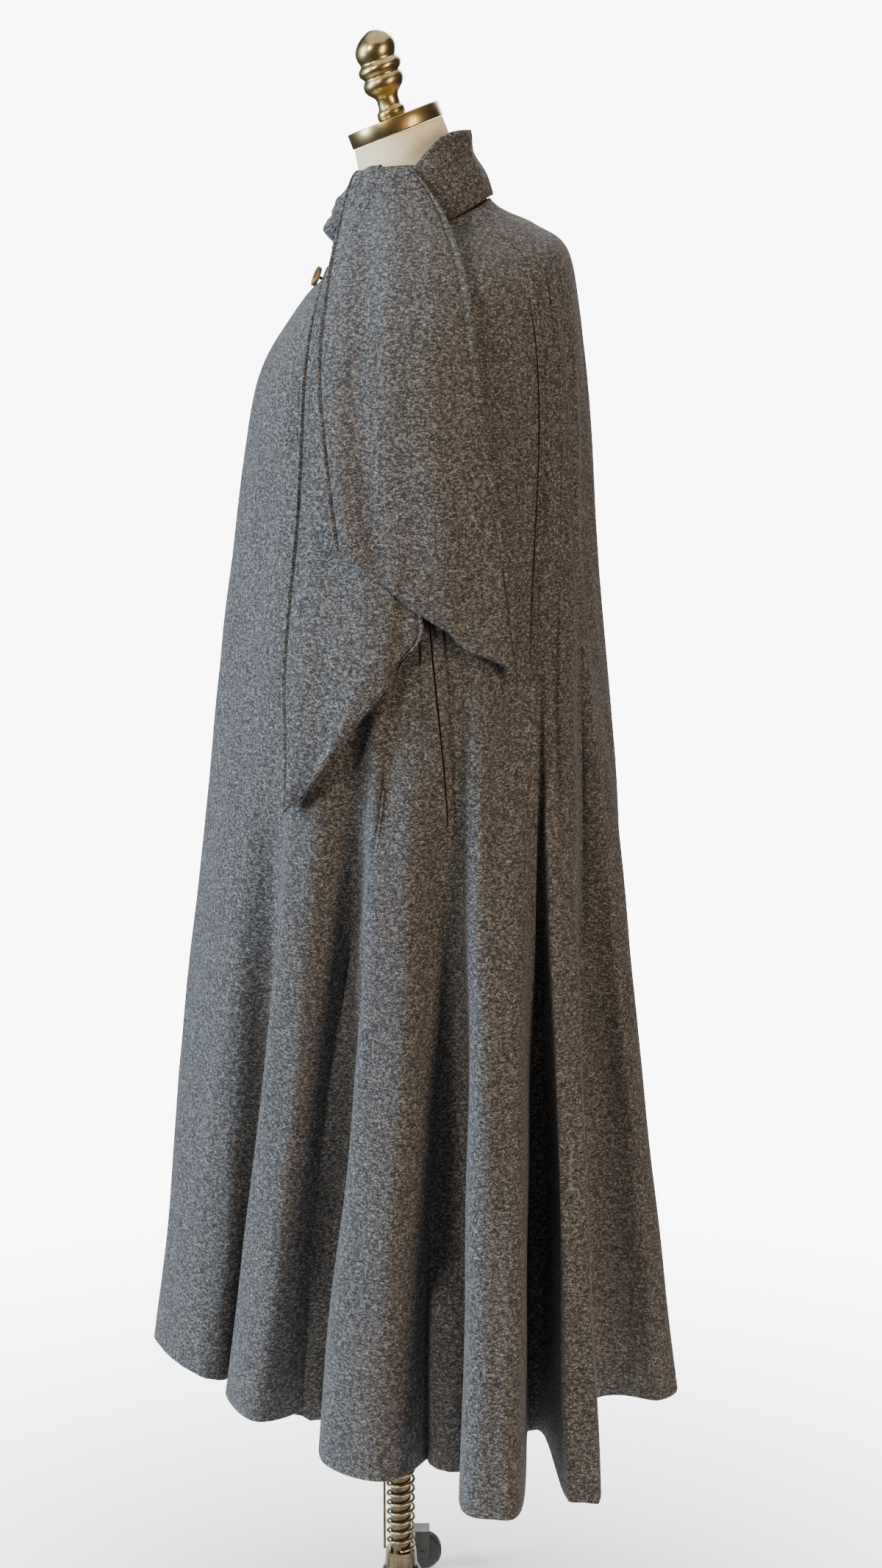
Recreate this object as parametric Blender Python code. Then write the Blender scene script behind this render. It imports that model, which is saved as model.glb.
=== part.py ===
"""Long wool cape coat with a tie scarf collar, on a limbless dress form that stands on castors.

Metres, +Z up, floor at z = 0.  The wearer faces -Y, so +X is the wearer's left.  Every size is
measured from the pole's axis, and one empty carries all the pieces, so that the part's middle is at
the origin.
The cape is one smooth sheet described by two coordinates: turn, in degrees from the centre front
towards the wearer's left, and drop, which counts the rows of BODY_ROWS from the collar to the hem.
"""
from collections import namedtuple
from math import cos, degrees, exp, pi, radians, sin

import bmesh
import bpy
from mathutils import Matrix, Vector

# Driving dimensions
POLE_Y = -0.0155            # the pole stands this far in front of the part's middle
CLOTH = 0.002               # wall of the wool flannel
SEAM_GAP = 0.0003           # clearance between neighbouring pieces
CENTRE_Y = 0.02             # middle of the body, between chest and back
FRONT_EDGE_TURN = -7.0      # where the left front's edge laps past the centre
UNDERLAP_TURN = 6.0         # how far the right front runs under the left one
UNDERLAP_INSET = 0.0040     # how far in it lies there
UNDERLAP_STEP = (346.0, 352.0)  # turns between which it moves in
SIDE_SEAM_TURN = 125.0      # side-back seam, in the valley of a deep flute
SLIT_TURN = 96.0            # arm slit
SLIT_WIDTH = 0.003
SLIT_DISTANCE = 0.25        # the slit lies this far from the pole's axis
SLIT_ROWS = (6, 8)          # the slit runs between these rows of BODY_ROWS
SLIT_MIDDLE_Z = 1.17        # height at which the slit is exactly at its turn
SLIT_LEAN = 26.0            # degrees for each metre of height that the slit leans
SLIT_LEAN_REACH = 9.0       # degrees to each side that lean with it
COLLAR_TURNS = (58.0, 338.0)
COLLAR_RISE = 2.4           # how early the collar's top edge climbs to its height at the back
COLLAR_EASE = 0.003         # how far outside the neck seam the collar stands
COLLAR_LIFT = 0.002         # how far above the neck seam it begins
BUTTON_RADIUS = 0.0105
BUTTON_CENTRE = (0.004, -0.0800, 1.5500)
BUTTON_FACING = (0.22, -0.90, 0.38)
SHANK_RADIUS = 0.0018       # thread shank between the button and the cloth
SHANK_LENGTH = 0.0040
SCARF_CLOTH = 0.003
NECK_TILT = 21.1            # degrees that the neck leans forward
FINIAL_SWAY = 0.12          # how far back the finial leans from the cap's axis, for each metre of it
CAP_CENTRE = (0.0, -0.0011, 1.7001)
CAP_RADIUS = 0.0485
CAP_THICKNESS = 0.0155
NECK_TOP_RADIUS = 0.0472
TORSO_BOTTOM = 0.90
SPRING_FOOT = 0.146
SPRING_HEAD = 0.376
SPRING_RADIUS = 0.0145
WIRE_RADIUS = 0.0016
SPRING_PITCH = 0.0115
HUB_PROFILE = ((0.070, 0.030), (0.095, 0.032), (0.112, 0.026), (0.128, 0.018), (0.143, 0.017))
HUB_NECK_RADIUS = 0.017
POST_RADIUS = 0.0115
POST_TOP = 0.60
TUBE_BORE = 0.0125
TUBE_RADIUS = 0.0150
SEAT_RADIUS = 0.020
SEAT_HEIGHT = 0.012
ROD_RADIUS = 0.0014         # thin rod in front of the spring
ROD_Y = -0.0182
ROD_TOP = 0.268
LEG_REACH = 0.235
LEG_COUNT = 4
LEG_ROOT = 0.0335           # distance of the leg's inner end from the pole's axis
LEG_ROOT_Z = 0.090
LEG_FALL = 0.016
LEG_ARCH = 0.018
LEG_WIDTH = 0.016
LEG_DEPTH = 0.012
LEG_TOE = (0.012, 0.073)    # how far past the castor's stem the toe goes, and its height
CASTOR_TRAIL = 0.022
WHEEL_RADIUS = 0.0235
WHEEL_WIDTH = 0.016
WHEEL_CHAMFER = 0.003
WHEEL_SIDES = 28            # flats of the tread, one of them on the floor
WHEEL_CENTRE = WHEEL_RADIUS * cos(pi / WHEEL_SIDES)
AXLE_RADIUS = 0.003
AXLE_CLEARANCE = 0.0004
AXLE_END = 0.001            # how far the axle stands out of the fork
FORK_PLATE = 0.0020
FORK_LENGTH = 0.018
FORK_SIDE_GAP = 0.0012
FORK_TOP_GAP = 0.003
FORK_DROP = 0.007           # how far the cheeks go below the wheel's centre
STEM_RADIUS = 0.006
STEM_TOP = 0.0655
SHELF_RADIUS = 0.0085       # round shelf under the stem, joined to the fork by a bridge
BRIDGE_Y = -0.007

BodyRow = namedtuple("BodyRow", "name front front_z side side_z back back_z")
BODY_ROWS = (
    BodyRow("collar top", -0.045, 1.652, 0.066, 1.660, 0.072, 1.694),
    BodyRow("neck seam", -0.052, 1.562, 0.073, 1.604, 0.094, 1.629),
    BodyRow("shoulder slope", -0.083, 1.541, 0.125, 1.584, 0.138, 1.604),
    BodyRow("shoulder end", -0.108, 1.508, 0.176, 1.552, 0.172, 1.580),
    BodyRow("upper arm", -0.135, 1.463, 0.205, 1.505, 0.185, 1.523),
    BodyRow("chest", -0.150, 1.412, 0.223, 1.440, 0.195, 1.430),
    BodyRow("slit top", -0.166, 1.300, 0.241, 1.300, 0.203, 1.300),
    BodyRow("elbow", -0.184, 1.170, 0.256, 1.170, 0.214, 1.170),
    BodyRow("slit foot", -0.199, 1.035, 0.271, 1.035, 0.230, 1.035),
    BodyRow("hip", -0.218, 0.870, 0.288, 0.870, 0.248, 0.870),
    BodyRow("knee", -0.238, 0.700, 0.304, 0.700, 0.268, 0.700),
    BodyRow("calf", -0.255, 0.530, 0.320, 0.530, 0.288, 0.530),
    BodyRow("hem", -0.272, 0.395, 0.335, 0.360, 0.309, 0.358),
)
FIRST_DROP = -1             # drop of the first row, so that the neck seam has drop 0
HEM_DROP = len(BODY_ROWS) - 2
CLOSEST_TURNS = 0.75        # degrees between neighbouring lines of the cloth
CAPE_DROPS = (0, 0.5, 1, 1.5, 2, 2.5, 3, 4, 5, 6, 7, 8, 9, 10, 11)

# Flutes of the skirt, seen from above: the crest, how broad its round end is, the valley after it,
# the height at which it begins to show and how far its line leans back at the shoulder blade.
Flute = namedtuple("Flute", "turn crest_x crest_y width valley_turn valley_x valley_y start lean")
FLUTES = (
    Flute(0.0, -0.015, -0.272, 0.170, 52.0, 0.075, -0.165, 1.20, 0.0),
    Flute(66.0, 0.150, -0.150, 0.120, 80.0, 0.115, -0.075, 1.14, 0.0),
    Flute(92.0, 0.278, -0.012, 0.130, 104.0, 0.235, 0.058, 1.30, 0.0),
    Flute(115.0, 0.358, 0.094, 0.062, 125.0, 0.160, 0.142, 1.12, 11.0),
    Flute(137.0, 0.322, 0.186, 0.058, 149.0, 0.100, 0.215, 1.30, 4.0),
    Flute(164.0, 0.045, 0.303, 0.070, 180.0, -0.005, 0.262, 1.10, 0.0),
    Flute(196.0, -0.062, 0.303, 0.085, 213.0, -0.115, 0.212, 1.05, -3.0),
    Flute(225.0, -0.262, 0.240, 0.070, 235.0, -0.175, 0.140, 1.25, -10.0),
    Flute(247.0, -0.360, 0.096, 0.070, 258.0, -0.225, 0.050, 1.10, 0.0),
    Flute(270.0, -0.286, -0.018, 0.120, 283.0, -0.130, -0.082, 1.25, 0.0),
    Flute(297.0, -0.170, -0.160, 0.105, 311.0, -0.085, -0.168, 1.12, 0.0),
)
CREST_DEPTH = 0.35          # how far back a crest's two flanks lie, as a share of its width
FOLD_POWER = 1.3            # folds deepen slowly at first
LEAN_HEIGHTS = (1.04, 1.50)  # a line's lean grows between these heights

# Soft pressed pleats that fall from the shoulder blades.
Pleat = namedtuple("Pleat", "turn start end depth")
PLEATS = (
    Pleat(125.0, 1.56, 0.60, 0.0050),
    Pleat(136.0, 1.53, 0.95, 0.0040),
    Pleat(149.0, 1.53, 0.70, 0.0050),
    Pleat(211.0, 1.53, 0.75, 0.0045),
    Pleat(224.0, 1.52, 1.00, 0.0040),
    Pleat(235.0, 1.55, 0.65, 0.0050),
)
PLEAT_EDGE = 0.8            # degrees over which a pleat's edge steps in
PLEAT_SPAN = 6.0            # degrees over which it comes out again
PLEAT_FADES = (0.08, 0.3)   # heights over which it appears and dies away

# Scarf ends, each a row of lines across the cloth from its front edge to its back edge.
ScarfRow = namedtuple("ScarfRow", "front_turn front_z back_turn back_z lift")
SCARF_UPPER_ROWS = (
    ScarfRow(38.0, 1.652, 88.0, 1.656, 0.012),
    ScarfRow(36.0, 1.636, 97.0, 1.646, 0.020),
    ScarfRow(37.0, 1.604, 104.0, 1.622, 0.025),
    ScarfRow(46.0, 1.564, 106.0, 1.590, 0.023),
    ScarfRow(56.2, 1.531, 106.0, 1.548, 0.019),
    ScarfRow(58.5, 1.490, 106.0, 1.500, 0.017),
    ScarfRow(60.5, 1.445, 106.6, 1.455, 0.017),
    ScarfRow(64.0, 1.385, 108.0, 1.381, 0.018),
    ScarfRow(67.0, 1.340, 111.0, 1.300, 0.020),
    ScarfRow(69.0, 1.305, 116.7, 1.177, 0.021),
)
SCARF_LOWER_ROWS = (
    ScarfRow(34.0, 1.558, 84.0, 1.590, 0.007),
    ScarfRow(44.5, 1.521, 88.0, 1.530, 0.006),
    ScarfRow(50.0, 1.480, 90.0, 1.460, 0.006),
    ScarfRow(52.5, 1.420, 91.0, 1.390, 0.008),
    ScarfRow(53.5, 1.331, 91.5, 1.320, 0.010),
    ScarfRow(53.0, 1.250, 92.0, 1.255, 0.011),
    ScarfRow(53.5, 1.175, 92.0, 1.220, 0.012),
    ScarfRow(56.3, 1.103, 84.0, 1.185, 0.012),
    ScarfRow(58.0, 1.060, 74.0, 1.130, 0.012),
    ScarfRow(58.6, 1.044, 64.5, 1.070, 0.012),
)
KNOT_TURNS = (-21.6, 57.6)      # from the collar's right front end round to its left end
KNOT_MIDDLE = 8.0
KNOT_SPREAD = 15.0
KNOT_BULGE = 0.0205
KNOT_DIP = 0.22                 # share of the collar's height by which the crossing's top is lower
KNOT_DIP_SPREAD = 24.0
KNOT_FOOT = 0.02

FormRow = namedtuple("FormRow", "half_width front front_z back back_z")
FORM_ROWS = (
    FormRow(0.138, -0.085, TORSO_BOTTOM, 0.110, TORSO_BOTTOM),
    FormRow(0.152, -0.098, 0.990, 0.132, 0.990),
    FormRow(0.112, -0.082, 1.180, 0.096, 1.180),
    FormRow(0.130, -0.105, 1.300, 0.112, 1.300),
    FormRow(0.152, -0.122, 1.385, 0.134, 1.390),
    FormRow(0.172, -0.104, 1.450, 0.148, 1.470),
    FormRow(0.152, -0.082, 1.500, 0.142, 1.535),
    FormRow(0.104, -0.052, 1.540, 0.116, 1.582),
    FormRow(0.064, -0.027, 1.570, 0.090, 1.606),
    FormRow(0.054, -0.0210, 1.592, 0.080, 1.630),
    FormRow(0.050, -0.0330, 1.632, 0.0650, 1.6640),
)

# Finial, turned: height above the cap, radius.
FINIAL_PROFILE = (
    (0.0, 0.0145), (0.008, 0.0145), (0.010, 0.0115), (0.021, 0.0115), (0.027, 0.0175),
    (0.033, 0.0210), (0.039, 0.0200), (0.042, 0.0180), (0.046, 0.0210), (0.050, 0.0227),
    (0.054, 0.0210), (0.057, 0.0185), (0.061, 0.0200), (0.067, 0.0212), (0.074, 0.0190),
    (0.080, 0.0145), (0.085, 0.0070),
)
FINIAL_TOP = 0.087


def catmull(values, at):
    """Smooth value between a list's entries, at a fractional index."""
    index = min(max(int(at), 0), len(values) - 2)
    part = at - index
    a = values[max(index - 1, 0)]
    b = values[index]
    c = values[index + 1]
    d = values[min(index + 2, len(values) - 1)]
    return b + 0.5 * part * (c - a + part * (2 * a - 5 * b + 4 * c - d + part * (3 * (b - c) + d - a)))


def between(low, high, value):
    """Share from 0 to 1 of the way from low to high, eased at both ends."""
    share = min(max((value - low) / (high - low), 0.0), 1.0)
    return share * share * (3 - 2 * share)


def flute_knots():
    """Turn, x, y, start and lean of each flank, crest, flank and valley of one round, in order."""
    knots = []
    for number, flute in enumerate(FLUTES):
        before = FLUTES[number - 1]
        turn_before = before.valley_turn - (360.0 if number == 0 else 0.0)
        crest = Vector((flute.crest_x, flute.crest_y))
        root = Vector((before.valley_x + flute.valley_x, before.valley_y + flute.valley_y)) / 2
        out = (crest - root).normalized()
        along = Vector((-out.y, out.x))
        flank = crest - out * CREST_DEPTH * flute.width
        left = flank - along * flute.width / 2
        right = flank + along * flute.width / 2
        middle_lean = (before.lean + flute.lean) / 2
        knots.append(((turn_before + flute.turn) / 2, left.x, left.y, flute.start, middle_lean))
        knots.append((flute.turn, crest.x, crest.y, flute.start, middle_lean))
        knots.append(((flute.turn + flute.valley_turn) / 2, right.x, right.y, flute.start, flute.lean))
        knots.append((flute.valley_turn, flute.valley_x, flute.valley_y, flute.start, flute.lean))
    return knots


KNOTS = flute_knots()


def knot_at(index):
    """A knot by any whole index, with its turn counted on round the body."""
    rounds, place = divmod(index, len(KNOTS))
    knot = KNOTS[place]
    return (knot[0] + 360.0 * rounds,) + knot[1:]


def hem_values(turn):
    """x, y, start and lean of the hem's curve at a turn, as a smooth curve through the knots."""
    index = 0
    while knot_at(index)[0] > turn:
        index -= 1
    while knot_at(index + 1)[0] <= turn:
        index += 1
    a, b, c, d = (knot_at(index + step) for step in (-1, 0, 1, 2))
    span = c[0] - b[0]
    part = (turn - b[0]) / span
    values = []
    for field in range(1, 5):
        slope_b = (c[field] - a[field]) / (c[0] - a[0]) * span
        slope_c = (d[field] - b[field]) / (d[0] - b[0]) * span
        values.append(
            b[field] * (2 * part ** 3 - 3 * part ** 2 + 1) + slope_b * (part ** 3 - 2 * part ** 2 + part)
            + c[field] * (3 * part ** 2 - 2 * part ** 3) + slope_c * (part ** 3 - part ** 2))
    return values


def body_point(turn, drop):
    """Point of the smooth body that the cape falls over, with no folds."""
    at = drop - FIRST_DROP
    front, front_z, side, side_z, back, back_z = (
        catmull([getattr(row, field) for row in BODY_ROWS], at) for field in BodyRow._fields[1:])
    forward = cos(radians(turn))
    weight = forward * forward
    if drop < 0 and forward < 0:
        climbed = 1 - (1 + forward) ** COLLAR_RISE
        weight += (climbed - weight) * -drop
    end_y, end_z = (front, front_z) if forward > 0 else (back, back_z)
    depth = abs(end_y - CENTRE_Y)
    return Vector((side * sin(radians(turn)), CENTRE_Y - depth * forward,
                   side_z + (end_z - side_z) * weight))


def cape_point(turn, drop):
    """Point of the cape's outer surface."""
    hem_x, hem_y, start, lean = hem_values(turn)
    plain = body_point(turn, drop)
    leaned = body_point(turn + lean * between(*LEAN_HEIGHTS, plain.z), drop)
    hem = body_point(turn, HEM_DROP)
    growth = (max(start - plain.z, 0.0) / (start - hem.z)) ** FOLD_POWER
    inset = 0.0
    for pleat in PLEATS:
        past = (turn - pleat.turn + 180.0) % 360.0 - 180.0
        if 0.0 < past < PLEAT_SPAN:
            appears = between(pleat.start, pleat.start - PLEAT_FADES[0], plain.z)
            dies = between(pleat.end, pleat.end + PLEAT_FADES[1], plain.z)
            edge = min(past / PLEAT_EDGE, (PLEAT_SPAN - past) / (PLEAT_SPAN - PLEAT_EDGE))
            inset += pleat.depth * appears * dies * edge
    inward = Vector((-leaned.x, CENTRE_Y - leaned.y, 0.0)).normalized()
    return leaned + Vector((hem_x - hem.x, hem_y - hem.y, 0.0)) * growth + inward * inset


def surface_normal(turn, drop, step_turn=0.25, step_drop=0.03):
    """Outward direction of the cape's surface."""
    low = max(drop - step_drop, FIRST_DROP)
    high = min(drop + step_drop, HEM_DROP)
    down = cape_point(turn, high) - cape_point(turn, low)
    along = cape_point(turn + step_turn, drop) - cape_point(turn - step_turn, drop)
    return down.cross(along).normalized()


def drop_at(turn, height):
    """Drop at which the smooth body passes a height."""
    low, high = float(FIRST_DROP), float(HEM_DROP)
    for _ in range(30):
        middle = (low + high) / 2
        if body_point(turn, middle).z > height:
            low = middle
        else:
            high = middle
    return (low + high) / 2


def new_object(name, mesh, finish):
    """A linked object with its own material."""
    colour, roughness, metallic = finish
    material = bpy.data.materials.new(name)
    material.use_nodes = True
    shader = material.node_tree.nodes["Principled BSDF"]
    shader.inputs["Base Color"].default_value = (*colour, 1.0)
    shader.inputs["Roughness"].default_value = roughness
    shader.inputs["Metallic"].default_value = metallic
    mesh.materials.append(material)
    item = bpy.data.objects.new(name, mesh)
    bpy.context.collection.objects.link(item)
    return item


WOOL = ((0.105, 0.103, 0.103), 0.95, 0.0)
LINEN = ((0.80, 0.76, 0.66), 0.85, 0.0)
GOLD = ((0.33, 0.27, 0.14), 0.28, 1.0)
BRONZE = ((0.12, 0.09, 0.05), 0.35, 1.0)
WIRE = ((0.62, 0.52, 0.34), 0.30, 1.0)
IRON = ((0.06, 0.055, 0.05), 0.45, 1.0)
RUBBER = ((0.02, 0.02, 0.02), 0.6, 0.0)
HORN = ((0.36, 0.22, 0.12), 0.35, 0.0)


def shell(name, outer, inner, finish, hole=None):
    """Closed wall between two grids of points.

    Rows run down and columns run towards growing turn.  The cells for which hole(row, column) is
    true are left out, and the wall is closed round them.
    """
    rows, columns = len(outer), len(outer[0])
    cells = [(row, column) for row in range(rows - 1) for column in range(columns - 1)
             if not (hole and hole(row, column))]
    mesh = bmesh.new()
    skins = [[[mesh.verts.new(point) for point in row] for row in grid] for grid in (outer, inner)]
    edges = {}
    for row, column in cells:
        corners = ((row, column), (row + 1, column), (row + 1, column + 1), (row, column + 1))
        mesh.faces.new([skins[0][r][c] for r, c in corners])
        mesh.faces.new([skins[1][r][c] for r, c in reversed(corners)])
        for number, corner in enumerate(corners):
            edges[(corner, corners[(number + 1) % 4])] = True
    for first, second in edges:
        if (second, first) not in edges:
            mesh.faces.new([skins[0][second[0]][second[1]], skins[0][first[0]][first[1]],
                            skins[1][first[0]][first[1]], skins[1][second[0]][second[1]]])
    bmesh.ops.delete(mesh, geom=[v for v in mesh.verts if not v.link_faces], context="VERTS")
    data = bpy.data.meshes.new(name)
    mesh.to_mesh(data)
    mesh.free()
    data.shade_smooth()
    return new_object(name, data, finish)


def turns_between(low, high, extra=()):
    """Turns of the cloth's lines: the flutes' knots, their middles, the pleats' edges and extra ones."""
    turns = {low, high, *extra}
    for index in range(-len(KNOTS), 2 * len(KNOTS)):
        here, after = knot_at(index)[0], knot_at(index + 1)[0]
        for share in (0.0, 0.5):
            turns.add(here + (after - here) * share)
    for pleat in PLEATS:
        turns.update((pleat.turn, pleat.turn + PLEAT_EDGE))
    kept = []
    for turn in sorted(turn for turn in turns if low <= turn <= high):
        fixed = turn in extra or turn in (low, high)
        if kept and turn - kept[-1] < CLOSEST_TURNS and not (fixed and kept[-1] in extra):
            if not fixed:
                continue
            kept.pop()
        kept.append(turn)
    return kept


def leaned_turn(turn, drop):
    """Turn of a line of the cloth at a drop: beside an arm slit the lines lean with the slit."""
    top, foot = (BODY_ROWS[row].side_z for row in SLIT_ROWS)
    height = min(max(body_point(turn, drop).z, foot), top)
    lean = (SLIT_MIDDLE_Z - height) * SLIT_LEAN
    for way, middle in ((1, SLIT_TURN), (-1, 360.0 - SLIT_TURN)):
        turn += way * lean * max(1 - abs(turn - middle) / SLIT_LEAN_REACH, 0.0)
    return turn


def cape_panel(name, low, high, slit_turn=None, underlap=False):
    """One panel of the cape between two turns, pulled back from the seam at each side."""
    half_slit = degrees(SLIT_WIDTH / 2 / SLIT_DISTANCE)
    extra = () if slit_turn is None else (slit_turn - half_slit, slit_turn + half_slit)
    extra += (*UNDERLAP_STEP, 360.0 + FRONT_EDGE_TURN) if underlap else (UNDERLAP_TURN, UNDERLAP_TURN / 2)
    turns = turns_between(low, high, extra)
    outer, inner = [], []
    for drop in CAPE_DROPS:
        line = [cape_point(leaned_turn(turn, drop), drop) for turn in turns]
        normals = [surface_normal(leaned_turn(turn, drop), drop) for turn in turns]
        if underlap:
            line = [point - normal * UNDERLAP_INSET * between(*UNDERLAP_STEP, turn)
                    for point, normal, turn in zip(line, normals, turns)]
        for edge, way in ((0, 1), (-1, -1)):
            along = cape_point(turns[edge] + 0.2, drop) - cape_point(turns[edge] - 0.2, drop)
            line[edge] = line[edge] + along.normalized() * way * SEAM_GAP
        outer.append(line)
        inner.append([point - normal * CLOTH for point, normal in zip(line, normals)])
    hole = None
    if slit_turn is not None:
        slit_column = turns.index(extra[0])
        slit_rows = range(CAPE_DROPS.index(SLIT_ROWS[0] - 1), CAPE_DROPS.index(SLIT_ROWS[1] - 1))

        def hole(row, column):
            return column == slit_column and row in slit_rows
    return shell(name, outer, inner, WOOL, hole)


def collar():
    """Stand of the scarf collar, from the left of the neck round the back to the right front."""
    count = 26
    low, high = COLLAR_TURNS
    turns = [low + (high - low) * number / count for number in range(count + 1)]
    outer, inner = [], []
    for drop in (-1.0, -0.75, -0.5, -0.25, -0.02):
        outer.append([])
        inner.append([])
        for turn in turns:
            away = Vector((sin(radians(turn)), -cos(radians(turn)), 0.0))
            top, foot = body_point(turn, -1.0), body_point(turn, 0.0)
            point = foot.lerp(top, -drop) + away * COLLAR_EASE + Vector((0, 0, COLLAR_LIFT))
            outer[-1].append(point)
            inner[-1].append(point - away * CLOTH)
    return shell("collar", outer, inner, WOOL)


def scarf_end(name, rows, count=8):
    """A hanging end of the scarf, laid over the cape and lifted clear of it."""
    outer, inner = [], []
    for number in range(2 * len(rows) - 1):
        at = number / 2
        front_turn, front_z, back_turn, back_z, lift = (
            catmull([getattr(row, field) for row in rows], at) for field in ScarfRow._fields)
        outer.append([])
        inner.append([])
        for column in range(count + 1):
            share = column / count
            turn = front_turn + (back_turn - front_turn) * share
            drop = drop_at(turn, front_z + (back_z - front_z) * share)
            away = surface_normal(turn, drop, 4.0, 0.3)
            base = cape_point(turn, drop)
            outer[-1].append(base + away * (lift + SCARF_CLOTH / 2))
            inner[-1].append(base + away * (lift - SCARF_CLOTH / 2))
    return shell(name, outer, inner, WOOL)


def spun(name, profile, finish, sides=24, matrix=Matrix.Identity(4)):
    """Solid turned round the Z axis from (height, radius) pairs, lowest first, ends closed flat."""
    mesh = bmesh.new()
    rings = []
    for height, radius in profile:
        rings.append([mesh.verts.new((radius * cos(2 * pi * side / sides),
                                      radius * sin(2 * pi * side / sides), height))
                      for side in range(sides)])
    for low, high in zip(rings, rings[1:]):
        for side in range(sides):
            after = (side + 1) % sides
            mesh.faces.new((low[side], low[after], high[after], high[side]))
    mesh.faces.new(list(reversed(rings[0])))
    mesh.faces.new(rings[-1])
    data = bpy.data.meshes.new(name)
    mesh.to_mesh(data)
    mesh.free()
    data.shade_smooth()
    data.set_sharp_from_angle(angle=radians(40))
    item = new_object(name, data, finish)
    item.matrix_world = matrix
    return item


def turned_ring(name, outline, finish, sides, first_side=0.0):
    """Solid ring turned round the Z axis from a closed outline of (radius, height) corners."""
    mesh = bmesh.new()
    rings = []
    for radius, height in outline:
        angles = [2 * pi * (side + first_side) / sides for side in range(sides)]
        rings.append([mesh.verts.new((radius * cos(angle), radius * sin(angle), height)) for angle in angles])
    for number, ring in enumerate(rings):
        other = rings[(number + 1) % len(rings)]
        for side in range(sides):
            after = (side + 1) % sides
            mesh.faces.new((ring[side], ring[after], other[after], other[side]))
    data = bpy.data.meshes.new(name)
    mesh.to_mesh(data)
    mesh.free()
    return new_object(name, data, finish)


def sleeve(name, low, high, bore, radius, finish):
    """Straight tube on the Z axis."""
    return turned_ring(name, ((bore, low), (radius, low), (radius, high), (bore, high)), finish, 20)


def knot():
    """Crossing of the scarf's two ends, a band round the front of the neck that is rolled thick in its middle."""
    columns, rows = 26, 10
    low, high = KNOT_TURNS
    outer, inner = [], []
    for row in range(rows + 1):
        outer.append([])
        inner.append([])
        for column in range(columns + 1):
            turn = low + (high - low) * column / columns
            past = turn - KNOT_MIDDLE
            crest = 1.0 - KNOT_DIP * exp(-(past / KNOT_DIP_SPREAD) ** 2)
            share = 1.0 - row / rows
            rise = KNOT_FOOT + (crest - KNOT_FOOT) * share
            bulge = KNOT_BULGE * exp(-(past / KNOT_SPREAD) ** 2) * sin(pi * share)
            away = Vector((sin(radians(turn)), -cos(radians(turn)), 0.0))
            top, foot = body_point(turn, -1.0), body_point(turn, 0.0)
            point = foot.lerp(top, rise) + Vector((0, 0, COLLAR_LIFT))
            outer[-1].append(point + away * (COLLAR_EASE + bulge))
            inner[-1].append(point + away * (COLLAR_EASE - CLOTH))
    return shell("scarf_knot", outer, inner, WOOL)


def button():
    """Round coat button with a raised rim, on a thread shank where the fronts meet below the knot."""
    profile = ((-SHANK_LENGTH, SHANK_RADIUS), (-0.0002, SHANK_RADIUS), (0.0, BUTTON_RADIUS * 0.8),
               (0.0012, BUTTON_RADIUS), (0.0026, BUTTON_RADIUS), (0.0034, BUTTON_RADIUS * 0.9),
               (0.0026, BUTTON_RADIUS * 0.72))
    turn = Vector(BUTTON_FACING).to_track_quat("Z", "Y").to_matrix().to_4x4()
    return spun("button", profile, HORN, 20, Matrix.Translation(BUTTON_CENTRE) @ turn)


def dress_form():
    """Smooth padded torso and neck with no limbs, closed flat under the neck's cap."""
    sides = 28
    lean = radians(NECK_TILT)
    under_cap = Vector(CAP_CENTRE) - Vector((0, -sin(lean), cos(lean))) * (CAP_THICKNESS / 2 + SEAM_GAP)
    reach = Vector((0, cos(lean), sin(lean))) * NECK_TOP_RADIUS
    low, high = under_cap - reach, under_cap + reach
    rows = FORM_ROWS + (FormRow(NECK_TOP_RADIUS, low.y, low.z, high.y, high.z),)
    mesh = bmesh.new()
    rings = []
    for number in range(2 * len(rows) - 1):
        half_width, front, front_z, back, back_z = (
            catmull([getattr(row, field) for row in rows], number / 2) for field in FormRow._fields)
        rings.append([])
        for side in range(sides):
            angle = 2 * pi * side / sides
            share = (1 + sin(angle)) / 2
            rings[-1].append(mesh.verts.new((half_width * cos(angle), front + (back - front) * share,
                                             front_z + (back_z - front_z) * share)))
    for low_ring, high_ring in zip(rings, rings[1:]):
        for side in range(sides):
            after = (side + 1) % sides
            mesh.faces.new((low_ring[side], low_ring[after], high_ring[after], high_ring[side]))
    mesh.faces.new(list(reversed(rings[0])))
    mesh.faces.new(rings[-1])
    data = bpy.data.meshes.new("dress_form")
    mesh.to_mesh(data)
    mesh.free()
    data.shade_smooth()
    return new_object("dress_form", data, LINEN)


def head_parts():
    """Neck cap and turned finial, on one axis that leans forward."""
    lean = Matrix.Translation(CAP_CENTRE) @ Matrix.Rotation(radians(NECK_TILT), 4, "X")
    half = CAP_THICKNESS / 2
    spun("neck_cap", ((-half, CAP_RADIUS - 0.001), (-half + 0.001, CAP_RADIUS), (half - 0.001, CAP_RADIUS),
                      (half, CAP_RADIUS - 0.001)), GOLD, 32, lean)
    foot = half + SEAM_GAP
    sway = Matrix(((1, 0, 0, 0), (0, 1, FINIAL_SWAY, -FINIAL_SWAY * foot), (0, 0, 1, 0), (0, 0, 0, 1)))
    finial = spun("finial", [(foot + height, radius) for height, radius in FINIAL_PROFILE]
                  + [(foot + FINIAL_TOP, 0.002)], GOLD, 24, lean)
    finial.data.transform(sway)


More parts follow.
